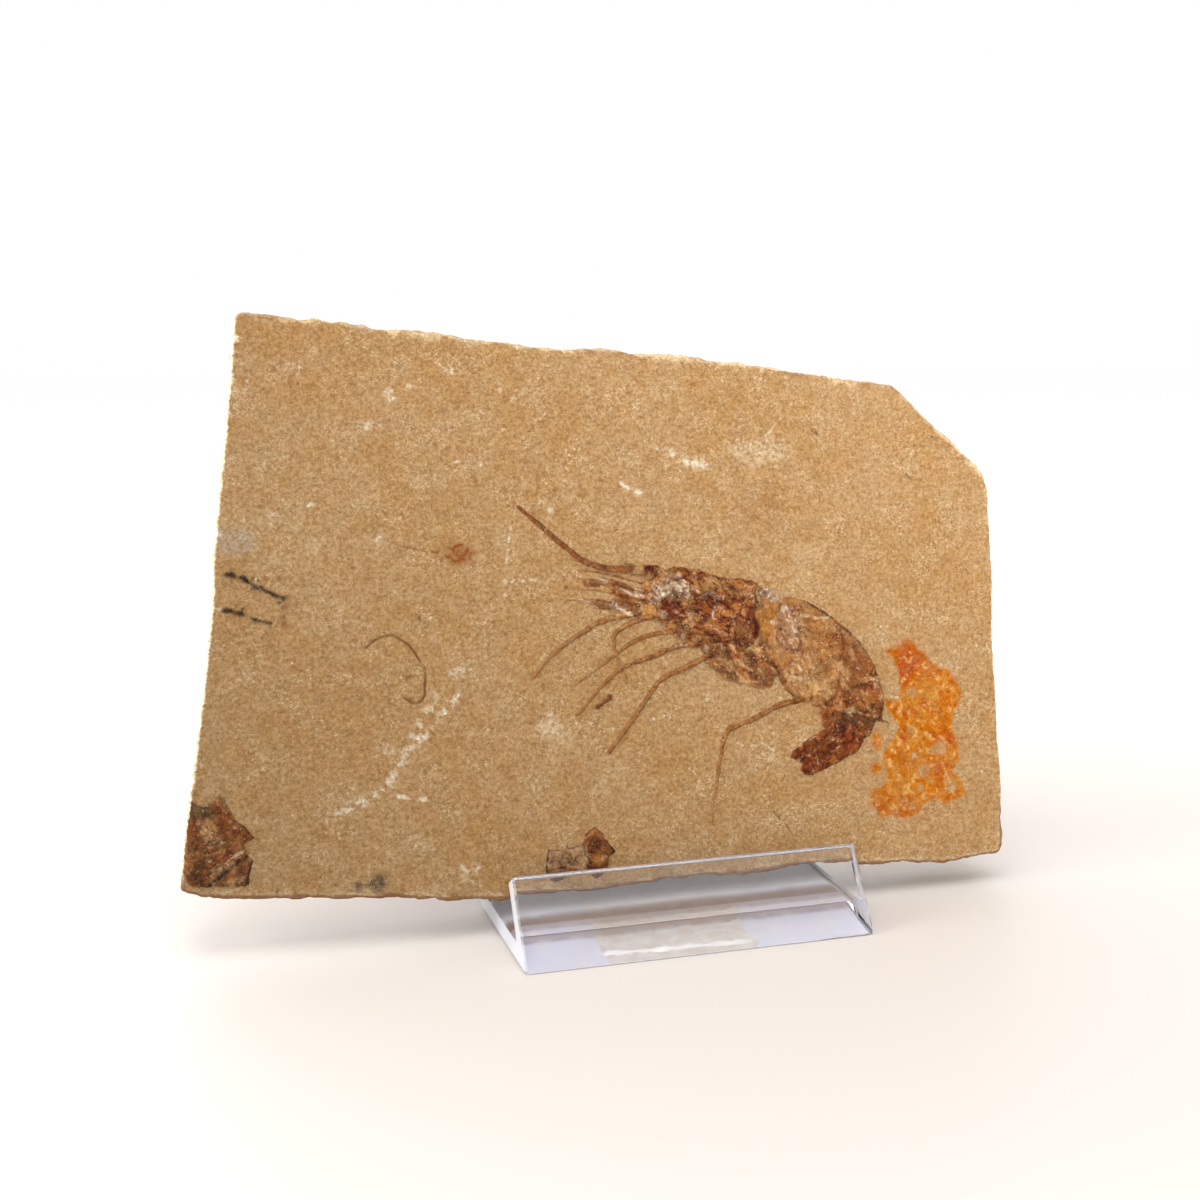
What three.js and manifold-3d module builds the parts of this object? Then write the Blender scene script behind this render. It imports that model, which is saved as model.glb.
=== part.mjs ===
// A fossil shrimp on a thin slab of limestone that leans in a clear display stand.
// Millimetres, +Z up, the slab's face towards -Y. The origin is on the table, in the middle of
// the whole assembly's footprint.
//
// Places on the slab are [across, up]: across runs along +X from the stand's left end, and up
// runs up the slab's face from its foot. Depth runs into the stone.

import * as THREE from 'three';
import { mergeVertices } from 'three/addons/utils/BufferGeometryUtils.js';
import Module from 'manifold-3d';

const wasm = await Module();
wasm.setup();

// ---------------------------------------------------------------- driving dimensions

const DEGREE = Math.PI / 180;
const CLEARANCE = 0.3; // between a piece and what it rests on

// the stand: one strip of clear sheet, bent into lip, base plate, back rest and rear leg
const STAND_WIDTH = 51;
const SHEET = 3;
const LIP_LENGTH = 13.5;
const LIP_LEAN = 33 * DEGREE; // from the vertical, towards the slab
const BACK_REST_LENGTH = 44;
const LEG_REACH = 60; // from the stand's front edge to the leg's foot
const FRONT_FOLD_RADIUS = 0.3; // outside the fold between lip and base plate
const TOP_FOLD_RADIUS = 1; // inside the fold between back rest and leg

// the slab
const SLAB_LEAN = 18 * DEGREE; // from the vertical, backwards
const SLAB_THICKNESS = 10;
const FACE_SETBACK = 15.5; // from the stand's front edge to the foot of the slab's face
const HEEL_SLOPE = 0.14; // how fast the broken underside climbs towards the back
const HEEL_HEIGHT = 20; // the climb fades out at this height up the face
const EDGE_STEP = 3.2; // longest straight stretch of the broken edge

// the fossils' relief above the slab's face
const CARAPACE_RELIEF = 1.1;
const SEGMENT_RELIEF = 0.95;
const SEGMENT_RELIEF_DROP = 0.15; // every second segment lies under its neighbours
const TAIL_RELIEF = 0.65;
const FRINGE_RELIEF = 0.45;
const LEG_RELIEF = 0.35;
const FRAGMENT_RELIEF = 0.45;

// ---------------------------------------------------------------- outlines on the slab's face

// the slab's outline, anticlockwise from its lower left corner
const SLAB_OUTLINE = [
  // lower edge
  [-43.5, 5], [-40.5, 4], [-30.5, 2.8], [-21.5, 2], [-14, 1.3], [-7.5, 0.3], [2.5, -0.4],
  [11.5, -1], [26.5, -0.6], [46.5, -0.6], [57.5, -0.6], [65, -1], [71, -1.6], [79, -1],
  // right edge
  [80.2, 0.2], [81.5, 11.5], [82.2, 21.5], [83, 32.5], [84.5, 43], [85, 51.7], [85.4, 56.2],
  // cut corner
  [85, 59.4], [79, 66], [72.2, 73.3],
  // upper edge
  [70.8, 74.5], [64, 75.1], [47.5, 77.7], [37, 79.2], [19, 80.2], [11.5, 81], [1, 82.2],
  [-6.5, 83.4], [-12, 83.7], [-20.5, 85.1], [-25.5, 85.6], [-29, 86], [-31, 85.5],
  // left edge
  [-32.2, 84.2], [-33.8, 71], [-35.6, 58.5], [-36.9, 49.5], [-37.1, 44], [-39.5, 30],
  [-41.5, 18.5], [-43, 9],
];

// the broken edge from the face to the back: how deep, and how far in from the outline
const EDGE_LEDGES = [
  { depth: 0, inset: 0.75 },
  { depth: 0.9, inset: 0.05 },
  { depth: 2.6, inset: 0.25 },
  { depth: 2.8, inset: 0.8 },
  { depth: 4.9, inset: 0.55 },
  { depth: 5.1, inset: 0 },
  { depth: 7.6, inset: 0.2 },
  { depth: 7.8, inset: 0.75 },
  { depth: 9.2, inset: 0.6 },
  { depth: SLAB_THICKNESS, inset: 1.4 },
];
const EDGE_WAVES = [
  { length: 17, height: 0.22, turn: 1.9 },
  { length: 7.3, height: 0.14, turn: 2.7 },
];

// thin flakes that have split off the back
const FLAKE_DEPTH = 0.8;
const BACK_FLAKES = [
  [[55, 82], [48, 70], [51, 61], [63, 55], [70, 57], [92, 50], [92, 82]],
  [[-50, 26], [-31, 24], [-24, 17], [-26, 9], [-19, -3], [-50, -3]],
];

const CARAPACE = [
  [21.5, 44.5], [22.3, 47], [25.8, 47.1], [28.7, 46.1], [31.2, 46.3], [34.8, 45.6], [38, 44.2],
  [42, 44.1], [44.2, 43.2], [43.6, 39.5], [43, 35.5], [42, 34], [39.5, 33.8], [36, 34], [33, 33.6],
  [30, 34.6], [27.5, 36], [25.5, 38], [22, 39.2], [20.8, 41.5],
];
// the abdomen, from the carapace to the tail
const SEGMENTS = [
  [[43.2, 42.8], [45.8, 42.3], [47.6, 40.6], [47.6, 36], [46.8, 33], [45.4, 31.5], [43.2, 32.4],
    [42.4, 34.5], [43, 38]],
  [[46.6, 40.4], [49.4, 40.6], [51.6, 40], [51.6, 36], [51.4, 31], [52.2, 27], [51, 24.4],
    [48.4, 24.7], [46.6, 27.2], [44.4, 31.2], [46, 34], [46.8, 37]],
  [[50.4, 40.2], [52.3, 39.7], [55.7, 37.6], [57.2, 36.2], [57.6, 33], [57, 29.5], [55.4, 25.4],
    [52.6, 23.4], [50.4, 23.8], [50.8, 27], [50.2, 31], [50.4, 35]],
  [[56, 37.3], [58.7, 34.8], [60.9, 31.7], [62.2, 29], [60.6, 26.8], [57.5, 24.6], [53.8, 23.6],
    [54.4, 26], [56, 29.5], [56.6, 33]],
  [[61.4, 30.6], [62.7, 27.2], [63.1, 24.6], [61.4, 23.2], [57.5, 22], [54, 21.8], [52.2, 22.8],
    [53.4, 24.6], [57.4, 25.8], [60, 27.8]],
  [[63, 24.8], [62.8, 22.4], [61.2, 21], [60.4, 19.2], [58.6, 18.6], [55.4, 19], [52.6, 20.2],
    [51.9, 22], [54, 22.8], [58, 23.2], [61.4, 24]],
];
const TAIL_LOBES = [
  [[60, 19.8], [58, 17.6], [55.9, 16.6], [53.1, 15.2], [50.3, 13.9], [48.9, 13.4], [47.9, 14.1],
    [47.6, 15.6], [49.4, 17.6], [52.8, 19.6], [56, 20.6]],
  [[53.6, 20.9], [50.2, 19.1], [46.8, 17.4], [46.4, 16.6], [46.9, 16], [48.2, 15.9], [52, 18],
    [55, 20]],
];
const TAIL_SPIKE = [[60.8, 22.2], [63.9, 20.1], [62.4, 20.3], [60.8, 21]];
// feathery limbs under the body, and the bristly plates in front of the head
const FRINGES = [
  [[33.5, 34.2], [34.3, 31.9], [36.7, 29.4], [38.7, 28], [41, 27.2], [44.2, 27.1], [46.4, 29],
    [45.4, 32.2], [43, 34.6], [38, 34.8]],
  [[22.6, 46.4], [19.4, 46.2], [16.3, 44.9], [16.1, 44.2], [19, 43.2], [22, 43.2]],
  [[22, 43.4], [18.8, 42.6], [15.8, 42], [15.8, 41.2], [19, 40.2], [22.6, 40.4]],
];

// limbs and feelers: the middle line from the body outwards, and the width at both ends
const LIMBS = [
  // the long feeler
  {
    width: [1, 0.3],
    line: [[22.6, 45.9], [19.5, 46.4], [16.4, 47.7], [13.7, 50.5], [10.1, 53.5], [7.6, 56.3]],
  },
  // walking legs, front to back
  { width: [0.8, 0.4], line: [[25, 39.6], [20.4, 39], [15, 36.7], [10.5, 33.9], [7.7, 31]] },
  { width: [0.7, 0.4], line: [[26, 38.8], [22.4, 37.7], [20.4, 36.4], [20.4, 34], [21.4, 29.7]] },
  { width: [0.7, 0.35], line: [[30, 36.4], [26.8, 36.1], [23.4, 35.4], [19.3, 32.7], [14, 29.6]] },
  { width: [0.75, 0.35], line: [[33, 34.4], [27, 33.3], [21.2, 31.5], [17, 28.2], [13.7, 25.3]] },
  { width: [0.8, 0.45], line: [[34.8, 32.6], [30, 30.5], [26.5, 29], [22.6, 24.3], [18.1, 19.3]] },
  // the movable finger of the pincer
  { width: [0.6, 0.4], line: [[18.6, 29.5], [19.2, 28.2], [18.6, 27.2], [16, 26]] },
  // the long limb that trails from the abdomen, thick as far as its knee
  { width: [0.75, 0.6], line: [[48.8, 25.2], [46.6, 24.9], [41.5, 22.7], [36.7, 21.3]] },
  { width: [0.55, 0.35], line: [[37, 21.6], [35.8, 19.2], [34.5, 14.7], [33.3, 10.2], [32.9, 7.3]] },
];

const CORNER_FRAGMENT = [
  [-40.6, 16.9], [-39.7, 16.1], [-37.7, 18.2], [-36.5, 15.7], [-33.3, 11.5], [-34.2, 9.1],
  [-33.5, 8.2], [-34.6, 4.9], [-39.9, 5.4], [-41.9, 5.8], [-41.6, 11],
];
const LOWER_FRAGMENT = [
  [7.7, 6.2], [10.2, 5.9], [13.1, 6.5], [13.5, 7.8], [15.1, 8.7], [17.7, 4.8], [16.5, 2.6],
  [14.1, 0.7], [11.4, 2.5], [8, 1], [7.1, 2.9],
];

// ---------------------------------------------------------------- helpers

const asVector = ([across, up]) => new THREE.Vector2(across, up);

function toManifold(geometry) {
  geometry.deleteAttribute('normal');
  geometry.deleteAttribute('uv');
  const merged = mergeVertices(geometry, 1e-4);
  return new wasm.Manifold(new wasm.Mesh({
    numProp: 3,
    vertProperties: new Float32Array(merged.attributes.position.array),
    triVerts: new Uint32Array(merged.index.array),
  }));
}

function toGeometry(solid) {
  const { vertProperties, triVerts } = solid.getMesh();
  const geometry = new THREE.BufferGeometry();
  geometry.setAttribute('position', new THREE.BufferAttribute(vertProperties, 3));
  geometry.setIndex(new THREE.BufferAttribute(triVerts, 1));
  return geometry;
}

// turns shape axes (x, y, out) to the slab's own axes, with "out" towards the viewer
const FACE_AXES = new THREE.Matrix4().makeBasis(
  new THREE.Vector3(1, 0, 0),
  new THREE.Vector3(0, 0, 1),
  new THREE.Vector3(0, -1, 0),
);

// a flat form that lies half above and half below the plane out = 0, with softened upper edges
function lowRelief(outline, relief, bevel) {
  const geometry = new THREE.ExtrudeGeometry(new THREE.Shape(outline.map(asVector)), {
    depth: 2 * (relief - bevel),
    bevelEnabled: bevel > 0,
    bevelThickness: bevel,
    bevelSize: bevel,
    bevelOffset: -bevel,
    bevelSegments: 2,
  });
  geometry.translate(0, 0, bevel - relief);
  return toManifold(geometry);
}

// a strip of changing width along a middle line
function limb({ line, width }, relief) {
  const smooth = new THREE.SplineCurve(line.map(asVector));
  const steps = 3 * (line.length - 1);
  const left = [];
  const right = [];
  for (let i = 0; i <= steps; i++) {
    const middle = smooth.getPoint(i / steps);
    const along = smooth.getTangent(i / steps);
    const side = new THREE.Vector2(-along.y, along.x);
    const half = THREE.MathUtils.lerp(width[0], width[1], i / steps) / 2;
    left.push(middle.clone().addScaledVector(side, half).toArray());
    right.push(middle.clone().addScaledVector(side, -half).toArray());
  }
  return lowRelief([...left, ...right.reverse()], relief, 0);
}

// joins low reliefs, cuts them flat underneath and seats them just clear of the slab's face
function onTheFace(reliefs) {
  const joined = reliefs.reduce((whole, relief) => whole.add(relief));
  const below = new THREE.BoxGeometry(300, 300, 20);
  below.translate(0, 0, -10);
  const geometry = toGeometry(joined.subtract(toManifold(below)));
  geometry.translate(0, 0, CLEARANCE);
  geometry.applyMatrix4(FACE_AXES);
  return geometry;
}

// replaces a corner of a path by an arc
function roundCorner(before, corner, after, radius, steps) {
  const toBefore = before.clone().sub(corner).normalize();
  const toAfter = after.clone().sub(corner).normalize();
  const halfAngle = Math.acos(toBefore.dot(toAfter)) / 2;
  const centre = toBefore.clone().add(toAfter).setLength(radius / Math.sin(halfAngle)).add(corner);
  const start = toBefore.multiplyScalar(radius / Math.tan(halfAngle)).add(corner).sub(centre);
  const end = toAfter.multiplyScalar(radius / Math.tan(halfAngle)).add(corner).sub(centre);
  const turn = Math.atan2(start.cross(end), start.dot(end));
  const arc = [];
  for (let i = 0; i <= steps; i++) {
    arc.push(start.clone().rotateAround(new THREE.Vector2(), (turn * i) / steps).add(centre));
  }
  return arc;
}

function roundedPath(points, radii) {
  return points.flatMap((point, i) => {
    const radius = radii[i];
    return radius ? roundCorner(points[i - 1], point, points[i + 1], radius, 7) : [point];
  });
}

// moves a path sideways to its left, with mitred corners and square ends
function offsetPath(points, distance) {
  const sides = points.slice(1).map((point, i) => {
    const along = point.clone().sub(points[i]).normalize();
    return new THREE.Vector2(-along.y, along.x);
  });
  return points.map((point, i) => {
    const first = sides[Math.max(i - 1, 0)];
    const second = sides[Math.min(i, sides.length - 1)];
    const mitre = first.clone().add(second);
    return mitre.multiplyScalar(distance / (1 + first.dot(second))).add(point);
  });
}

// ---------------------------------------------------------------- the slab

function subdivided(outline) {
  const points = outline.map(asVector);
  return points.flatMap((point, i) => {
    const next = points[(i + 1) % points.length];
    const pieces = Math.ceil(point.distanceTo(next) / EDGE_STEP);
    return Array.from({ length: pieces }, (_, k) => point.clone().lerp(next, k / pieces));
  });
}

// one line round the broken edge, at one depth
function edgeRing(points, { depth, inset }, level) {
  let travelled = 0;
  return points.map((point, i) => {
    const before = points[(i + points.length - 1) % points.length];
    const after = points[(i + 1) % points.length];
    const along = after.clone().sub(before).normalize();
    const inwards = new THREE.Vector2(-along.y, along.x);
    travelled += point.distanceTo(before);
    const waves = EDGE_WAVES.map(({ length, height, turn }) =>
      height * Math.sin((2 * Math.PI * travelled) / length + turn * level));
    const placed = point.clone().addScaledVector(inwards, inset + waves[0] + waves[1]);
    const heel = HEEL_SLOPE * depth * Math.max(0, 1 - point.y / HEEL_HEIGHT);
    return new THREE.Vector3(placed.x, depth, placed.y + heel);
  });
}

// closes a stack of rings of equal length with a cap on the first and the last
function ringSolid(rings) {
  const count = rings[0].length;
  const faces = [];
  for (let level = 0; level < rings.length - 1; level++) {
    for (let i = 0; i < count; i++) {
      const j = (i + 1) % count;
      const front = level * count;
      const back = front + count;
      faces.push(front + i, back + i, back + j, front + i, back + j, front + j);
    }
  }
  const flat = (ring) => ring.map(({ x, z }) => new THREE.Vector2(x, z));
  const last = (rings.length - 1) * count;
  for (const [a, b, c] of THREE.ShapeUtils.triangulateShape(flat(rings[0]), [])) {
    faces.push(a, b, c);
  }
  for (const [a, b, c] of THREE.ShapeUtils.triangulateShape(flat(rings.at(-1)), [])) {
    faces.push(last + a, last + c, last + b);
  }
  const geometry = new THREE.BufferGeometry().setFromPoints(rings.flat());
  geometry.setIndex(faces);
  return toManifold(geometry);
}

function slabGeometry() {
  const points = subdivided(SLAB_OUTLINE);
  let stone = ringSolid(EDGE_LEDGES.map((ledge, level) => edgeRing(points, ledge, level)));
  for (const outline of BACK_FLAKES) {
    const flake = new THREE.ExtrudeGeometry(new THREE.Shape(outline.map(asVector)), {
      depth: 2 * FLAKE_DEPTH,
      bevelEnabled: false,
    });
    flake.translate(0, 0, -SLAB_THICKNESS - FLAKE_DEPTH);
    flake.applyMatrix4(FACE_AXES);
    stone = stone.subtract(toManifold(flake));
  }
  return toGeometry(stone);
}

// the turned frame of the slab, with its lowest point over the stand just clear of the base plate
function slabPlace(slab) {
  const place = new THREE.Group();
  place.rotation.x = -SLAB_LEAN;
  place.updateMatrix();
  const corner = new THREE.Vector3();
  let lowest = Infinity;
  for (let i = 0; i < slab.attributes.position.count; i++) {
    corner.fromBufferAttribute(slab.attributes.position, i);
    const overStand = corner.x > -EDGE_STEP && corner.x < STAND_WIDTH + EDGE_STEP;
    lowest = overStand ? Math.min(lowest, corner.applyMatrix4(place.matrix).z) : lowest;
  }
  place.position.set(0, FACE_SETBACK, SHEET + CLEARANCE - lowest);
  return place;
}

// ---------------------------------------------------------------- the fossils

function shrimpGeometry() {
  const segments = SEGMENTS.map((outline, i) =>
    lowRelief(outline, SEGMENT_RELIEF - SEGMENT_RELIEF_DROP * (i % 2), 0.35));
  return onTheFace([
    lowRelief(CARAPACE, CARAPACE_RELIEF, 0.45),
    ...segments,
    ...TAIL_LOBES.map((outline) => lowRelief(outline, TAIL_RELIEF, 0.2)),
    lowRelief(TAIL_SPIKE, LEG_RELIEF, 0),
    ...FRINGES.map((outline) => lowRelief(outline, FRINGE_RELIEF, 0.12)),
    ...LIMBS.map((one) => limb(one, LEG_RELIEF)),
  ]);
}

function fragmentGeometry(outline) {
  return onTheFace([lowRelief(outline, FRAGMENT_RELIEF, 0.15)]);
}

// ---------------------------------------------------------------- the stand

// the strip's side view is [back, up] from the stand's front edge
function standGeometry(faceHeight) {
  const up = new THREE.Vector2(Math.sin(SLAB_LEAN), Math.cos(SLAB_LEAN));
  const into = new THREE.Vector2(Math.cos(SLAB_LEAN), -Math.sin(SLAB_LEAN));
  const rearFace = new THREE.Vector2(FACE_SETBACK, faceHeight)
    .addScaledVector(into, SLAB_THICKNESS + CLEARANCE + SHEET);
  const heel = rearFace.clone().addScaledVector(up, -rearFace.y / up.y);
  const underside = [
    new THREE.Vector2(Math.sin(LIP_LEAN), Math.cos(LIP_LEAN)).multiplyScalar(LIP_LENGTH),
    new THREE.Vector2(0, 0),
    heel,
    heel.clone().addScaledVector(up, BACK_REST_LENGTH),
    new THREE.Vector2(LEG_REACH, 0),
  ];
  const topside = offsetPath(underside, SHEET);
  const profile = [
    ...roundedPath(underside, [0, FRONT_FOLD_RADIUS, SHEET, TOP_FOLD_RADIUS, 0]),
    ...roundedPath(topside, [0, 0, 0, SHEET + TOP_FOLD_RADIUS, 0]).reverse(),
  ];
  const geometry = new THREE.ExtrudeGeometry(new THREE.Shape(profile), {
    depth: STAND_WIDTH,
    bevelEnabled: false,
  });
  geometry.applyMatrix4(new THREE.Matrix4().makeBasis(
    new THREE.Vector3(0, 1, 0),
    new THREE.Vector3(0, 0, 1),
    new THREE.Vector3(1, 0, 0),
  ));
  return toGeometry(toManifold(geometry));
}

// ---------------------------------------------------------------- assembly

const FRAGMENT_FINISH = { color: 0x6e3d1e, roughness: 0.6, metalness: 0 };

function piece(name, geometry, material) {
  const mesh = new THREE.Mesh(geometry, new THREE.MeshStandardMaterial(material));
  mesh.name = name;
  return mesh;
}

const slab = slabGeometry();
const place = slabPlace(slab);
place.add(
  piece('slab', slab, { color: 0xbd9868, roughness: 0.95, metalness: 0 }),
  piece('shrimp', shrimpGeometry(), { color: 0x8f4f2a, roughness: 0.6, metalness: 0 }),
  piece('fragment_corner', fragmentGeometry(CORNER_FRAGMENT), FRAGMENT_FINISH),
  piece('fragment_lower', fragmentGeometry(LOWER_FRAGMENT), FRAGMENT_FINISH),
);

const assembly = new THREE.Group();
assembly.add(place, piece('stand', standGeometry(place.position.z), {
  color: 0xe9eef6,
  roughness: 0.05,
  metalness: 0,
  transparent: true,
  opacity: 0.35,
}));

const extent = new THREE.Box3().setFromObject(assembly, true);
const middle = extent.getCenter(new THREE.Vector3());
assembly.position.set(-middle.x, -middle.y, 0);

const fossil = new THREE.Group();
fossil.add(assembly);
fossil.updateMatrixWorld(true);

export default fossil;
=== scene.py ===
"""The looks of a fossil shrimp on its limestone slab, in a clear display stand.

Lengths are in millimetres until they go into a mesh, a light or the camera. A place on the slab is
(across, up, out): across runs along +X from the stand's left end, up runs up the slab's face from
its foot, and out comes out of the face, so that the stone lies at negative values.
"""

import itertools
import math

import bpy
import numpy as np
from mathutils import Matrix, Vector
from mathutils.geometry import delaunay_2d_cdt


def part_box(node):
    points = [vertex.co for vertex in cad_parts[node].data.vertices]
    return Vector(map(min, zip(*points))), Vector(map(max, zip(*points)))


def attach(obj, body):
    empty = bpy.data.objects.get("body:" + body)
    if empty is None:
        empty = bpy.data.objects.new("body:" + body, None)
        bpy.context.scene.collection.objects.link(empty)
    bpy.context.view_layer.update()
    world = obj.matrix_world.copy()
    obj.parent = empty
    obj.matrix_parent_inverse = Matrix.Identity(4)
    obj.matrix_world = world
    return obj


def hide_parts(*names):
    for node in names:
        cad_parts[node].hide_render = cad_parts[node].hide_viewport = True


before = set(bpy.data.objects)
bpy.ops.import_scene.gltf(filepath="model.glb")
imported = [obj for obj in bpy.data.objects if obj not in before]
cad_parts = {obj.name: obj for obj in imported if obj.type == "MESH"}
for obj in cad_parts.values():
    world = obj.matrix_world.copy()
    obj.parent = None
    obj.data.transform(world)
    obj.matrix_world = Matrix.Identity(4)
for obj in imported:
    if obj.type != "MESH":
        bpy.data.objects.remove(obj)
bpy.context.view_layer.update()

MM = 0.001

# ---------------------------------------------------------------- the stand's and the slab's place

STAND_WIDTH = 51
SHEET = 3
LIP_LENGTH = 13.5
LIP_LEAN = math.radians(33)
BACK_REST_LENGTH = 44
LEG_REACH = 60  # back to the lower corner of the leg's end
LEG_END = 2.74  # from there back to the end's upper corner
FACE_SETBACK = 15.5
SLAB_LEAN = math.radians(18)
SLAB_THICKNESS = 10
SEAT_GAP = 0.3  # between the slab and the stand in the solids
FACE_FOOT_HEIGHT = 5.457
STAND_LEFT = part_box("stand")[0].x / MM
STAND_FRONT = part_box("stand")[1].y / MM - LEG_REACH - LEG_END  # the sharp edge before its fold

ACROSS = np.array([1.0, 0.0, 0.0])
UP = np.array([0.0, math.sin(SLAB_LEAN), math.cos(SLAB_LEAN)])
OUT = np.array([0.0, -math.cos(SLAB_LEAN), math.sin(SLAB_LEAN)])
FACE_FOOT = np.array([STAND_LEFT, STAND_FRONT + FACE_SETBACK, FACE_FOOT_HEIGHT])


def on_slab(places):
    """World points, in millimetres, of places on the slab."""
    return FACE_FOOT + places @ np.array([ACROSS, UP, OUT])


# ---------------------------------------------------------------- colours, as sRGB 0 to 255


def linear(colour):
    share = np.asarray(colour, float) / 255
    return np.where(share <= 0.04045, share / 12.92, ((share + 0.055) / 1.055) ** 2.4)


# the stone
STONE = (190, 149, 101)
STONE_WARM = (186, 142, 90)
STONE_GREY = (186, 152, 110)
CREAM = (228, 200, 158)
DUST = (246, 228, 196)
DUST_GREY = (190, 172, 150)
LAYER_DARK = (166, 118, 72)
LAYER_PALE = (222, 192, 148)
RIM_CREAM = (238, 208, 162)
# a painted highlight for the left rim, brighter than white
RIM_PAINTED_HIGHLIGHT = (300, 284, 246)
RIM_BROWN = (150, 96, 60)
# the stain
ORANGE = (204, 114, 0)
ORANGE_PALE = (206, 138, 40)
ORANGE_RED = (180, 64, 0)
ORANGE_DARK = (166, 82, 0)
ORANGE_CREAM = (232, 184, 112)
# the fossils, from pale to dark
WHITE = (232, 216, 190)
FRAY_PALE = (224, 184, 134)
CHALK = (214, 192, 160)
THREAD_PALE = (214, 160, 112)
STREAK_PALE = (206, 160, 110)
CHALK_PINK = (204, 170, 136)
TAN_PALE = (194, 146, 86)
SCRAP_PALE = (186, 144, 96)
OCHRE = (184, 124, 52)
CHALK_GREY = (178, 156, 130)
SHELL_TAN = (178, 120, 62)
SCRAP_TAN = (172, 132, 92)
TAN_FILM = (168, 113, 60)
PLATE = (166, 100, 50)
LEG_BROWN = (166, 106, 48)
BROWN = (156, 94, 42)
GRAIN_BROWN = (150, 94, 56)
RUST_BROWN = (150, 78, 22)
SHELL_BROWN = (148, 90, 44)
SCRAP_BROWN = (146, 86, 34)
RED_BROWN = (138, 70, 24)
EYE_RED = (136, 54, 16)
LEG_EDGE = (130, 72, 28)
UMBER = (114, 68, 30)
OLIVE = (112, 84, 50)
FRAY_DARK = (112, 48, 18)
DARK_RED = (108, 40, 10)
NEAR_BLACK = (52, 38, 30)
# shades that multiply another colour
STROKE_SHADE = (200, 180, 150)
SEAM_SHADE = (140, 84, 60)
VEIN_SHADE = (140, 88, 62)
# the film under the stand, and the table
# the film's lavender, set brighter than white in blue: partly its own tint, partly painted light
HAZE_LAVENDER = (246, 248, 266)
HAZE_GREY = (242, 232, 224)
# painted shade and a painted reflection of the slab, for the film
HAZE_PAINTED_SHADE = (166, 142, 126)
HAZE_WHITE = (254, 252, 250)
# a painted glint, brighter than white
HAZE_PAINTED_GLINT = (300, 300, 300)
# darker near the stand: the table's warmth and painted shade
TABLE_NEAR_SHADED = (201, 194, 188)
TABLE_FAR = (254, 254, 254)

# ---------------------------------------------------------------- numbers that vary from place to place


def lattice(cells, seed):
    """A repeatable number from -1 to 1 for each cell of a whole-number grid."""
    x, y, z = cells.T
    mixed = (x * 73856093) ^ (y * 19349663) ^ (z * 83492791) ^ (seed * 961748927)
    mixed = (mixed ^ (mixed >> 13)) * 1274126177
    mixed = (mixed ^ (mixed >> 16)) & 0xFFFF
    return mixed / 32767.5 - 1


def noise(places, size, seed):
    """Smooth lumps from -1 to 1, about size across."""
    scaled = places / size
    cell = np.floor(scaled).astype(np.int64)
    part = scaled - cell
    part = part * part * (3 - 2 * part)
    total = np.zeros(len(places))
    for corner in itertools.product((0, 1), repeat=3):
        weight = np.prod(np.where(corner, part, 1 - part), axis=1)
        total += weight * lattice(cell + np.array(corner), seed)
    return total


def turned(places, angle):
    """The same places on axes that are turned in the slab's face, to hide the noise's own grid."""
    c, s = math.cos(angle), math.sin(angle)
    return places @ np.array([[c, s, 0.3], [-s, c, 0.2], [0.1, -0.3, 1.0]])


def fractal(places, size, seed, octaves=4, fade=0.5):
    """Lumps of size and of ever finer sizes, from about -1 to 1."""
    total = np.zeros(len(places))
    strength = 1.0
    for octave in range(octaves):
        total += strength * noise(turned(places, 0.7 + octave), size / 2**octave, seed + octave)
        strength *= fade
    return total * (1 - fade) / (1 - fade**octaves) * 1.6


def stretched(places, direction, times):
    """Places squeezed along a direction of the face, which makes noise on them run that way."""
    along = np.array([math.cos(direction), math.sin(direction), 0.0])
    return places - np.outer(places @ along, along) * (1 - 1 / times)


def shaken(places, amount, size, seed):
    """The places' across and up, pushed about by amount, so that outlines on them turn ragged."""
    push = [fractal(places, size, seed + axis, 3, 0.6) for axis in (0, 50)]
    return places[:, :2] + amount * np.column_stack(push)


def step(low, high, value):
    """0 below low, 1 above high and smooth between them."""
    share = np.clip((value - low) / (high - low), 0, 1)
    return share * share * (3 - 2 * share)


# ---------------------------------------------------------------- lines and outlines on the face


def smooth_line(points, spacing):
    """A round line through the points, with a point about every spacing."""
    points = np.array(points, float)
    padded = np.vstack([2 * points[0] - points[1], points, 2 * points[-1] - points[-2]])
    made = []
    for a, b, c, d in zip(padded, padded[1:], padded[2:], padded[3:]):
        count = max(1, round(float(np.linalg.norm(c - b)) / spacing))
        t = np.arange(count)[:, None] / count
        second, third = 2 * a - 5 * b + 4 * c - d, 3 * b - a - 3 * c + d
        made.append(0.5 * (2 * b + (c - a) * t + second * t**2 + third * t**3))
    return np.vstack([*made, points[-1:]])


def near(flat, line, reach):
    """Which places lie within reach of the line's box."""
    line = np.asarray(line)
    return np.all((flat > line.min(0) - reach) & (flat < line.max(0) + reach), axis=1)


def line_distance(flat, line):
    """The distance from each place to a line, and how far along the line the nearest point is."""
    line = np.asarray(line, float)
    best = np.full(len(flat), 1e9)
    share = np.zeros(len(flat))
    lengths = np.linalg.norm(np.diff(line, axis=0), axis=1)
    gone = np.concatenate([[0], np.cumsum(lengths)])
    for i, (a, b) in enumerate(zip(line, line[1:])):
        t = np.clip((flat - a) @ (b - a) / max(lengths[i] ** 2, 1e-12), 0, 1)
        away = np.linalg.norm(flat - a - t[:, None] * (b - a), axis=1)
        closer = away < best
        best = np.where(closer, away, best)
        share = np.where(closer, (gone[i] + t * lengths[i]) / gone[-1], share)
    return best, share


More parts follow.
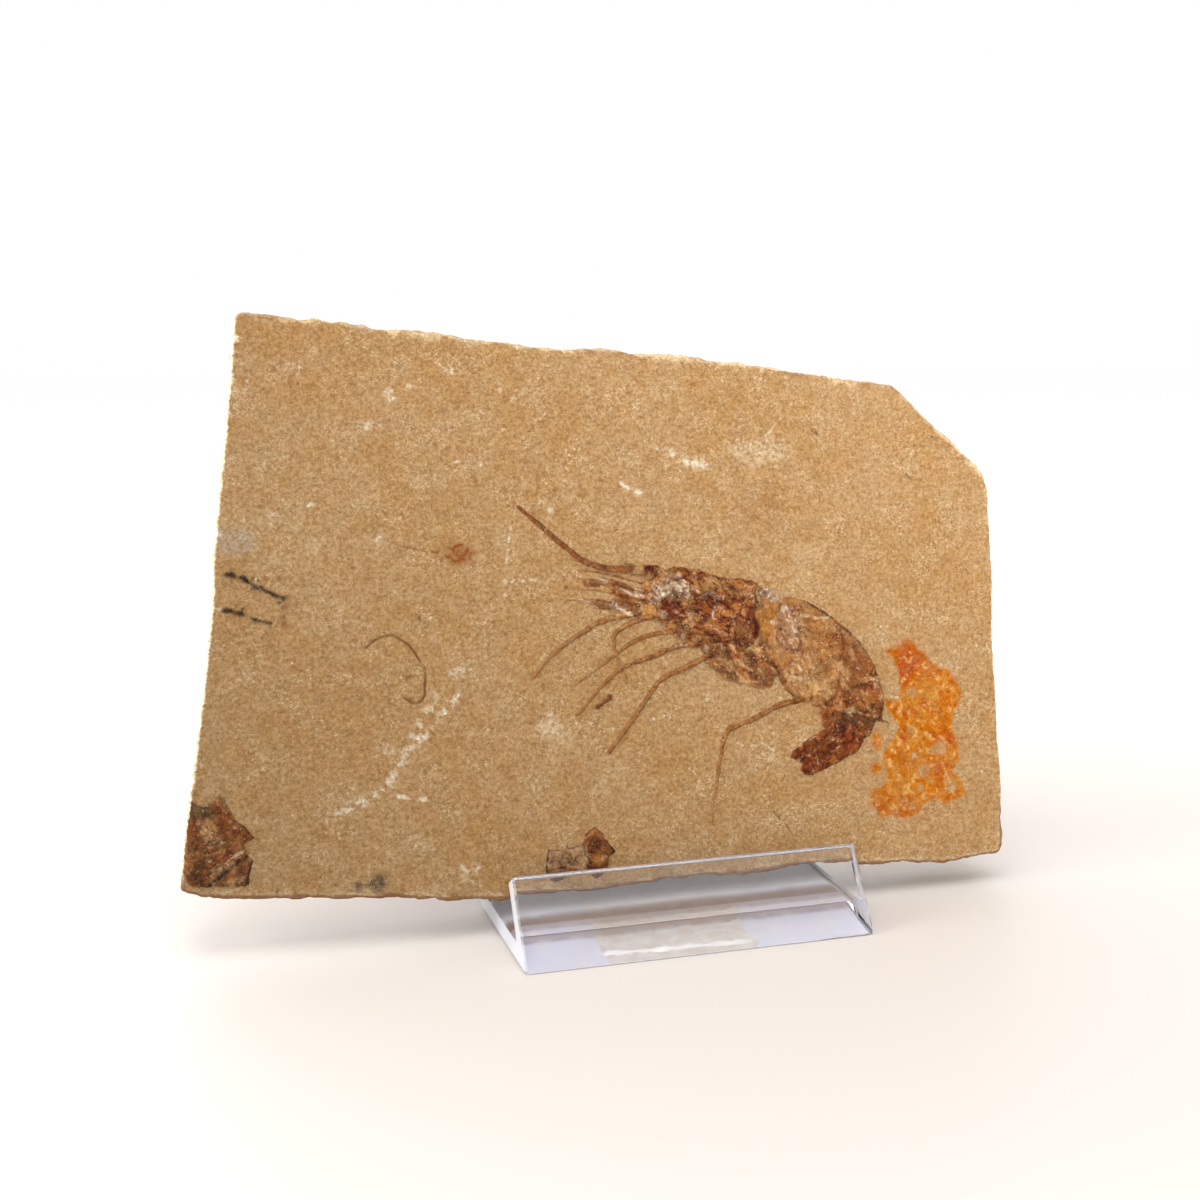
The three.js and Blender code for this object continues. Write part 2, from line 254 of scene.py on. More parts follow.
def depth_inside(flat, outline, reach=3.0):
    """How far each place lies inside an outline, and below 0 outside it."""
    outline = np.asarray(outline, float)
    depth = np.full(len(flat), -reach)
    close = near(flat, outline, reach)
    places = flat[close]
    away, _ = line_distance(places, np.vstack([outline, outline[:1]]))
    within = np.zeros(len(places), bool)
    for a, b in zip(outline, np.roll(outline, -1, axis=0)):
        crosses = (a[1] > places[:, 1]) != (b[1] > places[:, 1])
        rise = b[1] - a[1] if b[1] != a[1] else 1e-9
        within ^= crosses & (places[:, 0] < (b[0] - a[0]) * (places[:, 1] - a[1]) / rise + a[0])
    depth[close] = np.where(within, away, -away)
    return depth


def zone(flat, outlines, outside, inside):
    """1 within any of the outlines and 0 beyond them, changing between two depths inside them."""
    return np.max([step(outside, inside, depth_inside(flat, outline)) for outline in outlines], axis=0)


class Coat:
    """Paint that is laid over the stone: a colour, and how much of the stone it covers."""

    def __init__(self, places):
        self.places = places
        self.flat = places[:, :2]
        self.rgb = np.tile(linear(STONE), (len(places), 1))
        self.cover = np.zeros(len(places))
        self.shares = {}

    def lay(self, share, colour):
        """Covers the stone and the paint that is there already."""
        share = np.clip(share, 0, 1)
        cover = share + self.cover * (1 - share)
        weight = np.divide(share, cover, out=np.zeros_like(share), where=cover > 1e-6)[:, None]
        self.rgb = linear(colour) * weight + self.rgb * (1 - weight)
        self.cover = cover

    def tint(self, share, colour):
        """Changes the colour of the paint that is there already."""
        share = np.clip(share, 0, 1)[:, None]
        self.rgb = linear(colour) * share + self.rgb * (1 - share)

    def patches(self, rows, seed):
        """Each row is a colour, its strength, how soft and how ragged its edge is, and outlines."""
        for colour, strength, soft, ragged, *outlines in rows:
            for outline in outlines:
                seed += 1
                close = near(self.flat, outline, 3)
                depth = np.full(len(self.flat), -9.0)
                depth[close] = depth_inside(self.flat[close], outline)
                depth[close] += ragged * fractal(self.places[close], 1.3, seed)
                self.lay(strength * step(-soft, soft, depth), colour)

    def lines(self, rows, seed):
        """Each row is a colour, its strength, the line's width, how broken it is, and lines."""
        for colour, strength, width, broken, *lines in rows:
            for line in lines:
                seed += 1
                close = near(self.flat, line, 3)
                share = np.zeros(len(self.flat))
                away, _ = line_distance(self.flat[close], smooth_line(line, 0.5))
                places = self.places[close]
                wobble = width * (0.25 * fractal(places, 0.8, seed) + 0.2 * noise(places, 2, seed))
                gaps = step(0.1, 0.5, 0.55 - broken + 0.7 * noise(places, 0.9, seed + 40))
                share[close] = step(width * 0.75, width * 0.2, away + wobble) * gaps
                self.lay(strength * share, colour)

    def spots(self, rows):
        """Each row is a colour, its strength, the spots' radius, and their middles."""
        for colour, strength, radius, *middles in rows:
            for middle in middles:
                away = np.linalg.norm(self.flat - np.array(middle), axis=1)
                away += 0.35 * radius * fractal(self.places, radius, 5)
                self.lay(strength * step(radius * 1.15, radius * 0.55, away), colour)


# ---------------------------------------------------------------- meshes


def mesh_piece(name, points, faces, material, sharp=50, coat=None):
    """A piece of the object. The points are world points in millimetres, and edges that bend by more than
    sharp degrees stay sharp."""
    mesh = bpy.data.meshes.new(name)
    mesh.from_pydata(points * MM, [], faces)
    mesh.validate()
    mesh.update()
    mesh.shade_smooth()
    mesh.set_sharp_from_angle(angle=math.radians(sharp))
    if coat:
        place = mesh.attributes.new("place", "FLOAT_VECTOR", "POINT")
        place.data.foreach_set("vector", coat.places.astype(np.float32).ravel())
        paint = mesh.attributes.new("paint", "FLOAT_COLOR", "POINT")
        colours = np.column_stack([coat.rgb, coat.cover])
        paint.data.foreach_set("color", colours.astype(np.float32).ravel())
        for key, values in coat.shares.items():
            share = mesh.attributes.new(key, "FLOAT", "POINT")
            share.data.foreach_set("value", values.astype(np.float32))
    piece = bpy.data.objects.new(name, mesh)
    bpy.context.scene.collection.objects.link(piece)
    mesh.materials.append(material)
    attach(piece, "root")
    return piece


def new_piece(name, points, faces, node, material, sharp=50, coat=None):
    """A piece that stands for a CAD node."""
    piece = mesh_piece(name, points, faces, material, sharp, coat)
    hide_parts(node)
    return piece


# ---------------------------------------------------------------- materials

# how much light the slab's colours keep: at the foot's left end, and what each millimetre adds. The rise
# towards the upper right is partly the stone's own tone and partly painted light.
DARKEST = 0.5
PALER_TONE_AND_LIGHT = (0.0023, 0.0015, 0.0)
STONE_ROUGHNESS = 0.92
BUMP_DEPTH = 0.00012  # in metres, as the shader takes it
PLATE_SIZE = 1.9  # of the small plates that a fossil's film is split into
ACRYLIC_IOR = 1.49
ACRYLIC_TINT = {"Color": (0.5, 0.53, 1.0, 1.0), "Density": 3.0}


class Shading:
    """A material's nodes, added one by one."""

    def __init__(self, name):
        self.material = bpy.data.materials.new(name)
        self.material.use_nodes = True
        self.tree = self.material.node_tree
        self.tree.nodes.clear()

    def put(self, kind, inputs=(), **settings):
        node = self.tree.nodes.new("ShaderNode" + kind)
        for key, value in settings.items():
            setattr(node, key, value)
        for key, value in dict(inputs).items():
            if isinstance(value, bpy.types.NodeSocket):
                self.tree.links.new(value, node.inputs[key])
            else:
                node.inputs[key].default_value = value
        return node

    def attribute(self, name, output):
        return self.put("Attribute", attribute_name=name).outputs[output]

    def noise(self, place, size, detail=2.0, rough=0.5, distortion=0.0, output="Fac"):
        inputs = {"Vector": place, "Scale": 1 / size, "Detail": detail, "Roughness": rough}
        return self.put("TexNoise", {**inputs, "Distortion": distortion}).outputs[output]

    def cells(self, place, size, **settings):
        return self.put("TexVoronoi", {"Vector": place, "Scale": 1 / size}, **settings).outputs

    def between(self, value, low, high, to_low=0.0, to_high=1.0):
        inputs = {"Value": value, "From Min": low, "From Max": high, "To Min": to_low, "To Max": to_high}
        return self.put("MapRange", inputs, interpolation_type="SMOOTHSTEP").outputs["Result"]

    def math(self, operation, first, second):
        return self.put("Math", {0: first, 1: second}, operation=operation).outputs[0]

    def times(self, first, second):
        return self.math("MULTIPLY", first, second)

    def plus(self, first, second):
        return self.math("ADD", first, second)

    def minus(self, first, second):
        return self.math("SUBTRACT", first, second)

    def vector(self, operation, first, second):
        return self.put("VectorMath", {0: first, 1: second}, operation=operation).outputs[0]

    def red(self, colour):
        """A colour's first channel, as a number for each cell."""
        return self.put("SeparateColor", {0: colour}).outputs[0]

    def mix(self, share, first, second, blend="MIX"):
        inputs = {0: share, 6: rgba(first), 7: rgba(second)}
        return self.put("Mix", inputs, data_type="RGBA", blend_type=blend).outputs[2]

    def shade(self, colour, by):
        return self.mix(1.0, colour, by, "MULTIPLY")

    def ridge(self, place, size, distortion, width):
        """1 along winding lines, and 0 beyond their width."""
        middle = self.minus(self.noise(place, size, 1.5, 0.5, distortion), 0.5)
        return self.between(self.math("ABSOLUTE", middle, 0.0), width, width * 0.2)

    def moved(self, place, distance):
        return self.vector("ADD", place, (distance, -distance, distance))

    def level(self, value, warmth=0.0):
        """A grey that multiplies a colour by value. With warmth, what it darkens also turns browner."""
        red = self.math("POWER", value, 1 - 0.6 * warmth)
        blue = self.math("POWER", value, 1 + warmth)
        return self.put("CombineColor", {0: red, 1: value, 2: blue}).outputs[0]

    def bump(self, height, distance):
        return self.put("Bump", {"Height": height, "Distance": distance}).outputs["Normal"]

    def surface(self, inputs, absorption=None):
        outputs = {"Surface": self.put("BsdfPrincipled", inputs).outputs[0]}
        if absorption:
            outputs["Volume"] = self.put("VolumeAbsorption", absorption).outputs[0]
        self.put("OutputMaterial", outputs)
        return self.material


def rgba(colour):
    if isinstance(colour, bpy.types.NodeSocket):
        return colour
    return (*linear(colour), 1.0)


def bare_stone(s, place):
    """The stone's colour, and where its short pale strokes are."""
    tone = s.noise(place, 18, 3, 0.55)
    patch = s.noise(place, 4.5, 4, 0.6)
    colour = s.mix(s.between(tone, 0.38, 0.62), STONE_WARM, STONE)
    colour = s.mix(s.between(patch, 0.45, 0.68, 0, 0.4), colour, STONE_GREY)
    colour = s.mix(s.between(patch, 0.44, 0.3, 0, 0.12), colour, OCHRE)

    # short worm-like strokes, pale and dark, in loose clusters
    fibres = s.vector("MULTIPLY", place, (1.0, 1.5, 1.0))
    crowd = s.between(s.noise(place, 5, 3, 0.6), 0.42, 0.66, 0.15, 1.0)
    pale = s.times(s.ridge(fibres, 1.0, 1.2, 0.055), crowd)
    colour = s.mix(s.times(pale, 0.62), colour, CREAM)
    dark = s.ridge(s.moved(fibres, 37), 0.8, 1.4, 0.06)
    dark = s.times(dark, s.between(s.noise(s.moved(place, 11), 1.8, 2), 0.46, 0.62))
    colour = s.mix(s.times(dark, 0.5), colour, s.shade(colour, STROKE_SHADE))

    # pale flecks, brown pits and a few dark specks
    fleck = s.plus(s.noise(place, 0.6, 1.5, 0.6), s.times(crowd, 0.1))
    colour = s.mix(s.between(fleck, 0.7, 0.8, 0, 0.7), colour, CREAM)
    pit = s.between(s.noise(place, 0.7, 1.5), 0.33, 0.24)
    colour = s.mix(s.times(pit, 0.4), colour, UMBER)
    cells = s.cells(place, 5.5)
    chosen = s.between(s.red(cells["Color"]), 0.62, 0.7)
    speck = s.times(s.between(cells["Distance"], 0.045, 0.02), chosen)
    return s.mix(s.times(speck, 0.75), colour, NEAR_BLACK), pale


def layered_stone(s, place):
    """The stone's layers, which its broken edges and its back show."""
    layer = s.noise(s.vector("MULTIPLY", place, (0.05, 0.05, 1.0)), 1.1, 4, 0.6)
    colour = s.mix(s.between(layer, 0.36, 0.64), LAYER_DARK, LAYER_PALE)
    return s.mix(s.between(s.noise(place, 1.6, 3), 0.5, 0.7, 0, 0.6), colour, CREAM)


def plated_film(s, place, film):
    """A fossil's film, split into small plates of uneven tone, with seams, veins and crumbs."""
    busy = s.attribute("busy", "Fac")
    push = s.vector("SUBTRACT", s.noise(place, 1 / 0.7, 4.0, 0.6, output="Color"), (0.5, 0.5, 0.5))
    push = s.put("VectorMath", {0: push, "Scale": 2.6}, operation="SCALE").outputs[0]
    pushed = s.vector("ADD", place, push)
    tone = s.between(s.red(s.cells(pushed, PLATE_SIZE)["Color"]), 0.0, 1.0, 0.72, 1.3)
    tone = s.plus(1.0, s.times(s.minus(tone, 1.0), busy))
    film = s.shade(film, s.level(tone))

    rim = s.cells(pushed, PLATE_SIZE, feature="DISTANCE_TO_EDGE")["Distance"]
    seam = s.between(rim, 0.16, 0.03)
    dark_seam = s.times(seam, s.between(s.noise(place, 1.7, 2), 0.46, 0.56))
    pale_seam = s.times(seam, s.between(s.noise(place, 1.7, 2), 0.42, 0.34))
    film = s.mix(s.times(s.times(dark_seam, busy), 0.8), film, s.shade(film, SEAM_SHADE))
    film = s.mix(s.times(s.times(pale_seam, busy), 0.4), film, CREAM)

    vein = s.ridge(s.moved(place, 5), 0.8, 1.6, 0.07)
    vein = s.times(vein, s.between(s.noise(place, 1.6, 2), 0.42, 0.6))
    vein = s.times(vein, s.plus(s.times(busy, 0.7), 0.25))
    film = s.mix(vein, film, s.shade(film, VEIN_SHADE))
    crumb = s.between(s.noise(s.moved(place, 19), 0.45, 2, 0.6), 0.56, 0.7)
    crumb = s.times(crumb, s.between(s.noise(s.moved(place, 29), 1.5, 2), 0.5, 0.64))
    return s.mix(s.times(crumb, 0.6), film, CREAM)


def stone_finish(name, paint_roughness, plated=False):
    """Fine-grained tan limestone, and whatever is painted on it."""
    s = Shading(name)
    place = s.attribute("place", "Vector")
    grain = s.noise(place, 0.55, 3, 0.7, 0.4)
    fine = s.noise(place, 0.22, 2, 0.6)
    broad = s.noise(s.moved(place, 3), 1.6, 2, 0.5)
    colour, pale = bare_stone(s, place)
    colour = s.mix(s.attribute("broken", "Fac"), colour, layered_stone(s, place))
    light = s.times(s.between(grain, 0.3, 0.7, 0.7, 1.28), s.between(fine, 0.3, 0.7, 0.86, 1.14))
    light = s.times(light, s.between(broad, 0.35, 0.65, 0.93, 1.07))
    colour = s.shade(colour, s.level(light, 0.4))

    # the paint's edge breaks up into grains, and the paint has a grain of its own
    cover = s.attribute("paint", "Alpha")
    loose = s.times(cover, s.minus(1.0, cover))
    ragged = s.times(s.minus(grain, 0.5), 9.0)
    share = s.put("Clamp", {"Value": s.plus(cover, s.times(loose, ragged))}).outputs[0]
    own = s.between(s.noise(place, 0.42, 4, 0.7), 0.28, 0.72, 0.6, 1.4)
    paint = s.shade(s.attribute("paint", "Color"), s.level(own, 0.4))
    if plated:
        paint = plated_film(s, place, paint)
    else:
        share = s.times(share, s.minus(1.0, s.times(pale, 0.45)))
    colour = s.mix(share, colour, paint)

    # the whole face is paler towards its upper right, partly its own tone and partly painted light
    across = s.put("VectorMath", {0: place, 1: PALER_TONE_AND_LIGHT}, operation="DOT_PRODUCT").outputs["Value"]
    height = s.plus(s.times(grain, 0.75), s.times(fine, 0.35))
    height = s.plus(height, s.times(pale, 0.2))
    return s.surface({
        "Base Color": s.shade(colour, s.level(s.plus(across, DARKEST))),
        "Roughness": s.between(share, 0.0, 1.0, STONE_ROUGHNESS, paint_roughness),
        "Specular IOR Level": 0.1,
        "Normal": s.bump(height, BUMP_DEPTH),
    })


def acrylic_finish():
    inputs = {"Base Color": (1.0, 1.0, 1.0, 1.0), "Roughness": 0.0, "IOR": ACRYLIC_IOR}
    return Shading("clear_acrylic").surface({**inputs, "Transmission Weight": 1.0}, ACRYLIC_TINT)


def sawn_finish():
    """The strip's sawn ends, which were left dull."""
    inputs = {"Base Color": (0.96, 0.96, 0.98, 1.0), "Roughness": 0.5, "IOR": ACRYLIC_IOR}
    return Shading("sawn_acrylic").surface({**inputs, "Transmission Weight": 0.45}, ACRYLIC_TINT)


def haze_finish():
    s = Shading("plate_haze")
    mottle = s.between(s.noise(s.attribute("place", "Vector"), 2.6, 4, 0.6), 0.35, 0.65)
    mottle = s.times(mottle, s.attribute("paint", "Alpha"))
    colour = s.mix(s.times(mottle, 0.6), s.attribute("paint", "Color"), HAZE_WHITE)
    return s.surface({"Base Color": colour, "Roughness": 0.7, "Specular IOR Level": 0.1})


def table_finish():
    """White far off, and darker and a little warmer near the stand: the table's own warmth with painted
    shade around the stand.
    """
    s = Shading("pale_table")
    place = s.put("TexCoord").outputs["Object"]
    far = s.put("VectorMath", {0: place}, operation="LENGTH").outputs["Value"]
    # darker near the stand: painted shade around it
    colour = s.mix(s.between(far, 0.06, 0.4), TABLE_NEAR_SHADED, TABLE_FAR)
    return s.surface({"Base Color": colour, "Roughness": 0.55})


# ---------------------------------------------------------------- the slab's outline and edges

SLAB_OUTLINE = [
    # lower edge
    (-43.5, 5), (-40.5, 3.9), (-30.5, 2.8), (-21.5, 2), (-14, 1.3), (-7.5, 0.3), (2.5, -0.4), (13.5, -1),
    (26.5, -0.5), (36, -0.7), (46.5, -0.4), (57.5, -0.7), (65, -1.2), (71, -1.7), (79.8, -1),
    # right edge
    (80.5, 0.4), (81.5, 11.5), (82.2, 21.5), (83, 32.5), (84.5, 43), (85, 51.7), (85.4, 56.2),
    # cut corner
    (85, 59.4), (83.4, 61.6), (79, 66), (75.4, 69.4), (72.2, 73.3),
    # upper edge
    (70.8, 74.5), (64.1, 75.1), (54.8, 76.6), (47.5, 77.7), (36.7, 79.2), (25.2, 80.1), (11.6, 81),
    (1, 82.2), (-6.6, 83.4), (-11.9, 83.6), (-15.9, 84.6), (-23.2, 85), (-27.7, 86), (-30.9, 86),
    # left edge
    (-32.0, 85.2), (-32.1, 83.4), (-33.8, 71), (-35.6, 58.5), (-36.9, 49.6), (-37.2, 43.8), (-39.4, 29.9),
    (-41.4, 18.6), (-43, 9),
]
UPPER_RIM = SLAB_OUTLINE[22:41]  # with the cut corner
LEFT_RIM = SLAB_OUTLINE[41:] + SLAB_OUTLINE[:1]
EDGE_SPACING = 0.58
# how deep each of the stone's layers ends, from the face to the back
LAYER_ENDS = [0.9, 1.5, 2.7, 3.4, 4.9, 5.5, 7.6, 8.3, 9.2]
HEEL_SLOPE = 0.14
HEEL_HEIGHT = 20
BEVEL_STEPS = 5
BEVEL_DROP = 0.75  # how deep the rim's bevel is, as a share of its width
BACK_STEPS = 3
BACK_BEVEL = 0.7
PLATE_TOP = SHEET + 0.06  # the lowest that the stone may reach over the stand's base plate
STAND_MARGIN = 0.3  # how far beyond the stand's ends that counts


def resampled_loop(points, spacing):
    """The outline with a point every spacing, and its corners a little round."""
    points = np.array(points, float)
    closed = np.vstack([points, points[:1]])
    lengths = np.linalg.norm(np.diff(closed, axis=0), axis=1)
    gone = np.concatenate([[0], np.cumsum(lengths)])
    at = np.linspace(0, gone[-1], round(gone[-1] / spacing), endpoint=False)
    loop = np.column_stack([np.interp(at, gone, closed[:, k]) for k in (0, 1)])
    return 0.25 * np.roll(loop, 1, axis=0) + 0.5 * loop + 0.25 * np.roll(loop, -1, axis=0)


def inward(loop, window):
    """Inward directions, averaged over a window of points on both sides."""
    along = np.roll(loop, -1, axis=0) - np.roll(loop, 1, axis=0)
    spread = sum(np.roll(along, k, axis=0) for k in range(-window, window + 1))
    spread /= np.linalg.norm(spread, axis=1)[:, None]
    return np.column_stack([-spread[:, 1], spread[:, 0]])


def edge_levels():
    """Depths of the rings down the broken edge, close together where a layer ends."""
    steps = {0.45}
    for end in LAYER_ENDS:
        steps |= {end - 0.1, end + 0.1}
    for start, end in zip([0.9, *LAYER_ENDS], LAYER_ENDS):
        if end - start > 1:
            steps |= set(np.linspace(start, end, 4)[1:-1])
    return sorted(steps)


def worked(loop):
    """How rough the edge is at each point: 1 on the broken long edges, less on the smooth ends."""
    across, up = loop.T
    right = step(3.0, 0.0, 84.0 - across - 0.03 * (60 - up)) * step(-6, 4, up)
    left = step(2.0, 0.0, across + 33 + (84 - up) * 0.12) * step(2, 8, up)
    return 1 - 0.75 * np.clip(right + left, 0, 1)


def edge_rings():
    """Rings of places from the face's rim round the broken edge to the rim of the back."""
    loop = resampled_loop(SLAB_OUTLINE, EDGE_SPACING)
    inside = inward(loop, 4)
    rough = worked(loop)
    flat = np.column_stack([loop, np.zeros(len(loop))])
    wander = rough * (0.3 * fractal(flat, 6, 11) + 0.16 * fractal(flat, 1.8, 12))
    chips = step(-0.1, 0.9, fractal(flat, 5, 13)) * rough
    under = step(6.0, 4.0, loop[:, 1]) * (0.5 + 0.25 * fractal(flat, 4, 20))
    left = step(-31.0, -32.0, loop[:, 0] + 0.12 * (84 - loop[:, 1])) * 0.25
    broken_off = np.clip(0.35 + 0.7 * fractal(flat, 8, 40) + 0.3 * fractal(flat, 1.2, 41), 0, 0.9)
    above = step(1.5, 0.5, line_distance(loop, UPPER_RIM)[0]) * broken_off
    bevel = 0.28 + 0.2 * np.abs(fractal(flat, 2.5, 14)) + 0.75 * chips + np.maximum(under, 0) + left + above
    heel = HEEL_SLOPE * np.clip(1 - loop[:, 1] / HEEL_HEIGHT, 0, 1)
    rings = []

    def ring(depth, inset):
        depth = np.broadcast_to(depth, len(loop))
        at = np.column_stack([loop + inside * inset[:, None], -depth])
        at[:, 1] += heel * depth
        rings.append(at)

    for k in range(BEVEL_STEPS):
        angle = math.pi / 2 * k / BEVEL_STEPS
        bite = 0.16 * fractal(np.column_stack([loop, np.full(len(loop), k * 0.4)]), 0.9, 15)
        inset = wander + bevel * (1 - math.sin(angle)) + bite * math.sin(angle)
        ring(BEVEL_DROP * bevel * (1 - math.cos(angle)), inset)
    for depth in edge_levels():
        layer = int(np.searchsorted(LAYER_ENDS, depth))
        there = np.column_stack([loop, np.full(len(loop), -depth)])
        proud = 0.42 * fractal(np.column_stack([loop, np.full(len(loop), layer * 9.0)]), 7, 16)
        bite = 0.2 * fractal(there, 1.4, 17) + 0.12 * fractal(there, 0.6, 18)
        settled = step(0.2, 1.2, depth)
        inset = 0.35 + wander + settled * (0.2 + rough * (proud + bite) + 0.3 * bite)
        ring(depth + (BEVEL_DROP * bevel - 0.4) * (1 - settled), np.maximum(inset, -0.15))
    for k in range(1, BACK_STEPS + 1):
        angle = math.pi / 2 * k / BACK_STEPS
        inset = 0.5 + wander + 0.9 * (1 - math.cos(angle)) + 0.15 * fractal(flat, 1.5, 19)
        ring(SLAB_THICKNESS - BACK_BEVEL * (1 - math.sin(angle)), inset)
    return rings


# ---------------------------------------------------------------- marks on the slab's face

STAIN = [
    (64, 31.7), (65.4, 32.2), (66.3, 31.9), (67.9, 32.9), (69.1, 32.5), (70.4, 31.2), (72.3, 28.9),
    (74.4, 28.1), (75.8, 25.8), (76.3, 24), (75.6, 22.5), (74.7, 21.2), (73.9, 19.1), (74.8, 16.4),
    (74.7, 14.6), (73.5, 12.1), (75, 8.9), (73.4, 7.8), (71.6, 7.3), (70, 8.1), (68.1, 7.8), (66.5, 6.4),
    (64.4, 5.5), (62.2, 6.4), (60.5, 6.1), (59, 7.9), (58.8, 9.8), (60.6, 11), (61.9, 11.5), (61.9, 13.7),
    (62, 16.2), (63.5, 17.4), (64.5, 19.1), (64.8, 20.2), (63.2, 22.2), (63.2, 24.2), (65.6, 24),
    (66.1, 26.6), (65.5, 29.1), (65.2, 30.4),
]
STAIN_ISLAND = [(61.2, 19.8), (62, 19.1), (61.6, 16.9), (60.5, 16.1), (60, 17.3)]
STAIN_DROP = (60.3, 13.6)
STAIN_CORE = (68.3, 30.2)
STAIN_RED_SPOTS = [(60.2, 7.6), (71.1, 12.7), (64.6, 6.9), (65.3, 27.0)]
STAIN_STREAKS = [[(68.1, 26.7), (72.3, 23.8)], [(68.3, 20.8), (74.1, 16.9)]]
STAIN_HOLES = [
    (0.9, (67.8, 24.8)),
    (0.6, (66.9, 19.1), (67, 15), (70.2, 15.6), (69.2, 11.1), (67.4, 10), (65.9, 7.4)),
    (1.1, (71.6, 15.9), (68.3, 12.6), (72.7, 10.2)),
]
SCRATCH = [
    (-0.3, 33.5), (-5.1, 31.2), (-8.6, 26.5), (-10.6, 22.8), (-13, 19.3), (-15.9, 16.1), (-20.8, 14.1),
    (-24.1, 13.2),
]
SCRATCH_BRANCH = [(-3, 29.6), (-5.2, 27.4), (-7.4, 25), (-9.4, 23)]
INK_LINES = [
    [(-35, 48), (-33.1, 47.5), (-31, 46.1), (-29.2, 45.2), (-27.3, 44.1)],
    [(-36.2, 43), (-34.1, 42.6), (-32.1, 41.7), (-29.4, 40.8)],
]
LOOP_LINE = [
    (-16.4, 36.6), (-14.6, 37.8), (-12.6, 38.2), (-11.1, 37.4), (-10, 36.4), (-9, 34.7), (-8.1, 32.8),
    (-8.3, 30.7), (-8.5, 29.2), (-9.3, 28.4), (-10.2, 28.3), (-11.3, 29.1),
]
RUST_LINE = [(-12.1, 51.8), (-9, 50.7), (-4.9, 49.8)]
RUST = [(-5, 49.4), (-3.1, 50.5), (-1.6, 51.2), (0.2, 49.7), (-0.9, 48.6), (-3.3, 48.4)]
RUST_CURLS = [
    [(-4.8, 49.9), (-3.6, 50.6), (-2.6, 50.1), (-3.2, 49.2), (-4.4, 49.3), (-4.6, 48.6)],
    [(-2.8, 50.4), (-1.6, 50.9), (-0.6, 50.2), (-1.2, 49.3), (-2.4, 49.5), (-1.8, 50.2)],
    [(-3.6, 49.2), (-2.6, 48.5), (-1.4, 48.9), (-0.6, 48.4), (-0.2, 49.6)],
]
HAIR_LINES = [
    [(42.9, 8.4), (44.3, 6.8), (45.6, 4.8)],
    [(45.8, 4), (46.4, 5.3), (47.9, 5.6)],
]
DENDRITE = [
    (-20.3, 4.0), (-20, 2.5), (-17.4, 2.5), (-15.6, 2.8), (-15.7, 4.0), (-16.6, 5.1), (-17.6, 4.3),
    (-18.8, 3.9),
]
SCUFF_LINES = [
    [(30.1, 64.5), (33.5, 63), (37.1, 61.7)],
    [(23.7, 59.2), (26.6, 57.8)],
    [(-13.3, 15.3), (-8.2, 14.5)],
    [(-4.9, 4.9), (-3.9, 3.7), (-2.7, 4.4)],
]
FAINT_LINES = [
    [(6.2, 53.7), (5.2, 48.4), (4.3, 42.9)],
    [(4.6, 45.1), (9.3, 45.2)],
    [(52.8, 71.3), (51, 69.2), (48.6, 66.8)],
    [(18.5, 22.5), (23.2, 23.3), (27.5, 23.9)],
    [(37.8, 19.6), (39.6, 18.4), (42.2, 18.8), (43.8, 17.6)],
    [(30.6, 15.8), (31.6, 14.4), (31.2, 13.2)],
]
INK_DOTS = [
    (-32.6, 47.6), (-31.4, 47.2), (-30.6, 46.9), (-26.6, 45.4), (-26.4, 44.2), (-28.0, 43.6), (-33.0, 43.0),
]
CREAM_SPOTS = [
    (-1.1, 77.2), (5.3, 74.6), (7.1, 73.3), (11.2, 72.6), (5.4, 70.4), (-11.2, 73.3), (-8.9, 74.9),
    (-2.4, 69.1), (-13.2, 68.9), (-0.7, 63.2), (2.9, 62.7), (16.1, 59.4), (-22.4, 57.3), (-10.7, 54.7),
    (-13.7, 52.3), (12.0, 56.2), (-28.0, 56.0), (6.6, 67.8), (-30.9, 75.3),
]
GREY_PATCH = [(-36.1, 54.7), (-30.8, 54.1), (-31, 51.3), (-33.5, 50.5), (-36.6, 51.5)]
CHALKY_PATCHES = [
    [(7, 23.3), (9.7, 25.1), (12.1, 23.8), (10.9, 22.3), (8.7, 22.4)],
    [(41.6, 64.9), (46.2, 66.2), (50.8, 65.5), (51, 63.1), (46.5, 61.6), (42.4, 62.2)],
    [(-16, 22.8), (-14, 23.2), (-12, 21.6), (-13.6, 20.6)],
]
DARK_SPOTS = [(71.2, 59.4), (56.7, 66.4), (13.6, 43.8), (4.1, 37.3), (-8.3, 40.3), (-7.4, 39.1)]
BROWN_SPOTS = [(-10.6, 32.0), (-10.4, 29.0), (71.9, 59.0), (56.2, 66.9)]
RED_SPOTS = [(-27.4, 42.9), (-27.4, 41.7), (-27.5, 40.6), (-29.7, 47.2), (-27.8, 47.1)]


def distance_to(flat, middle):
    return np.linalg.norm(flat - np.array(middle), axis=1)


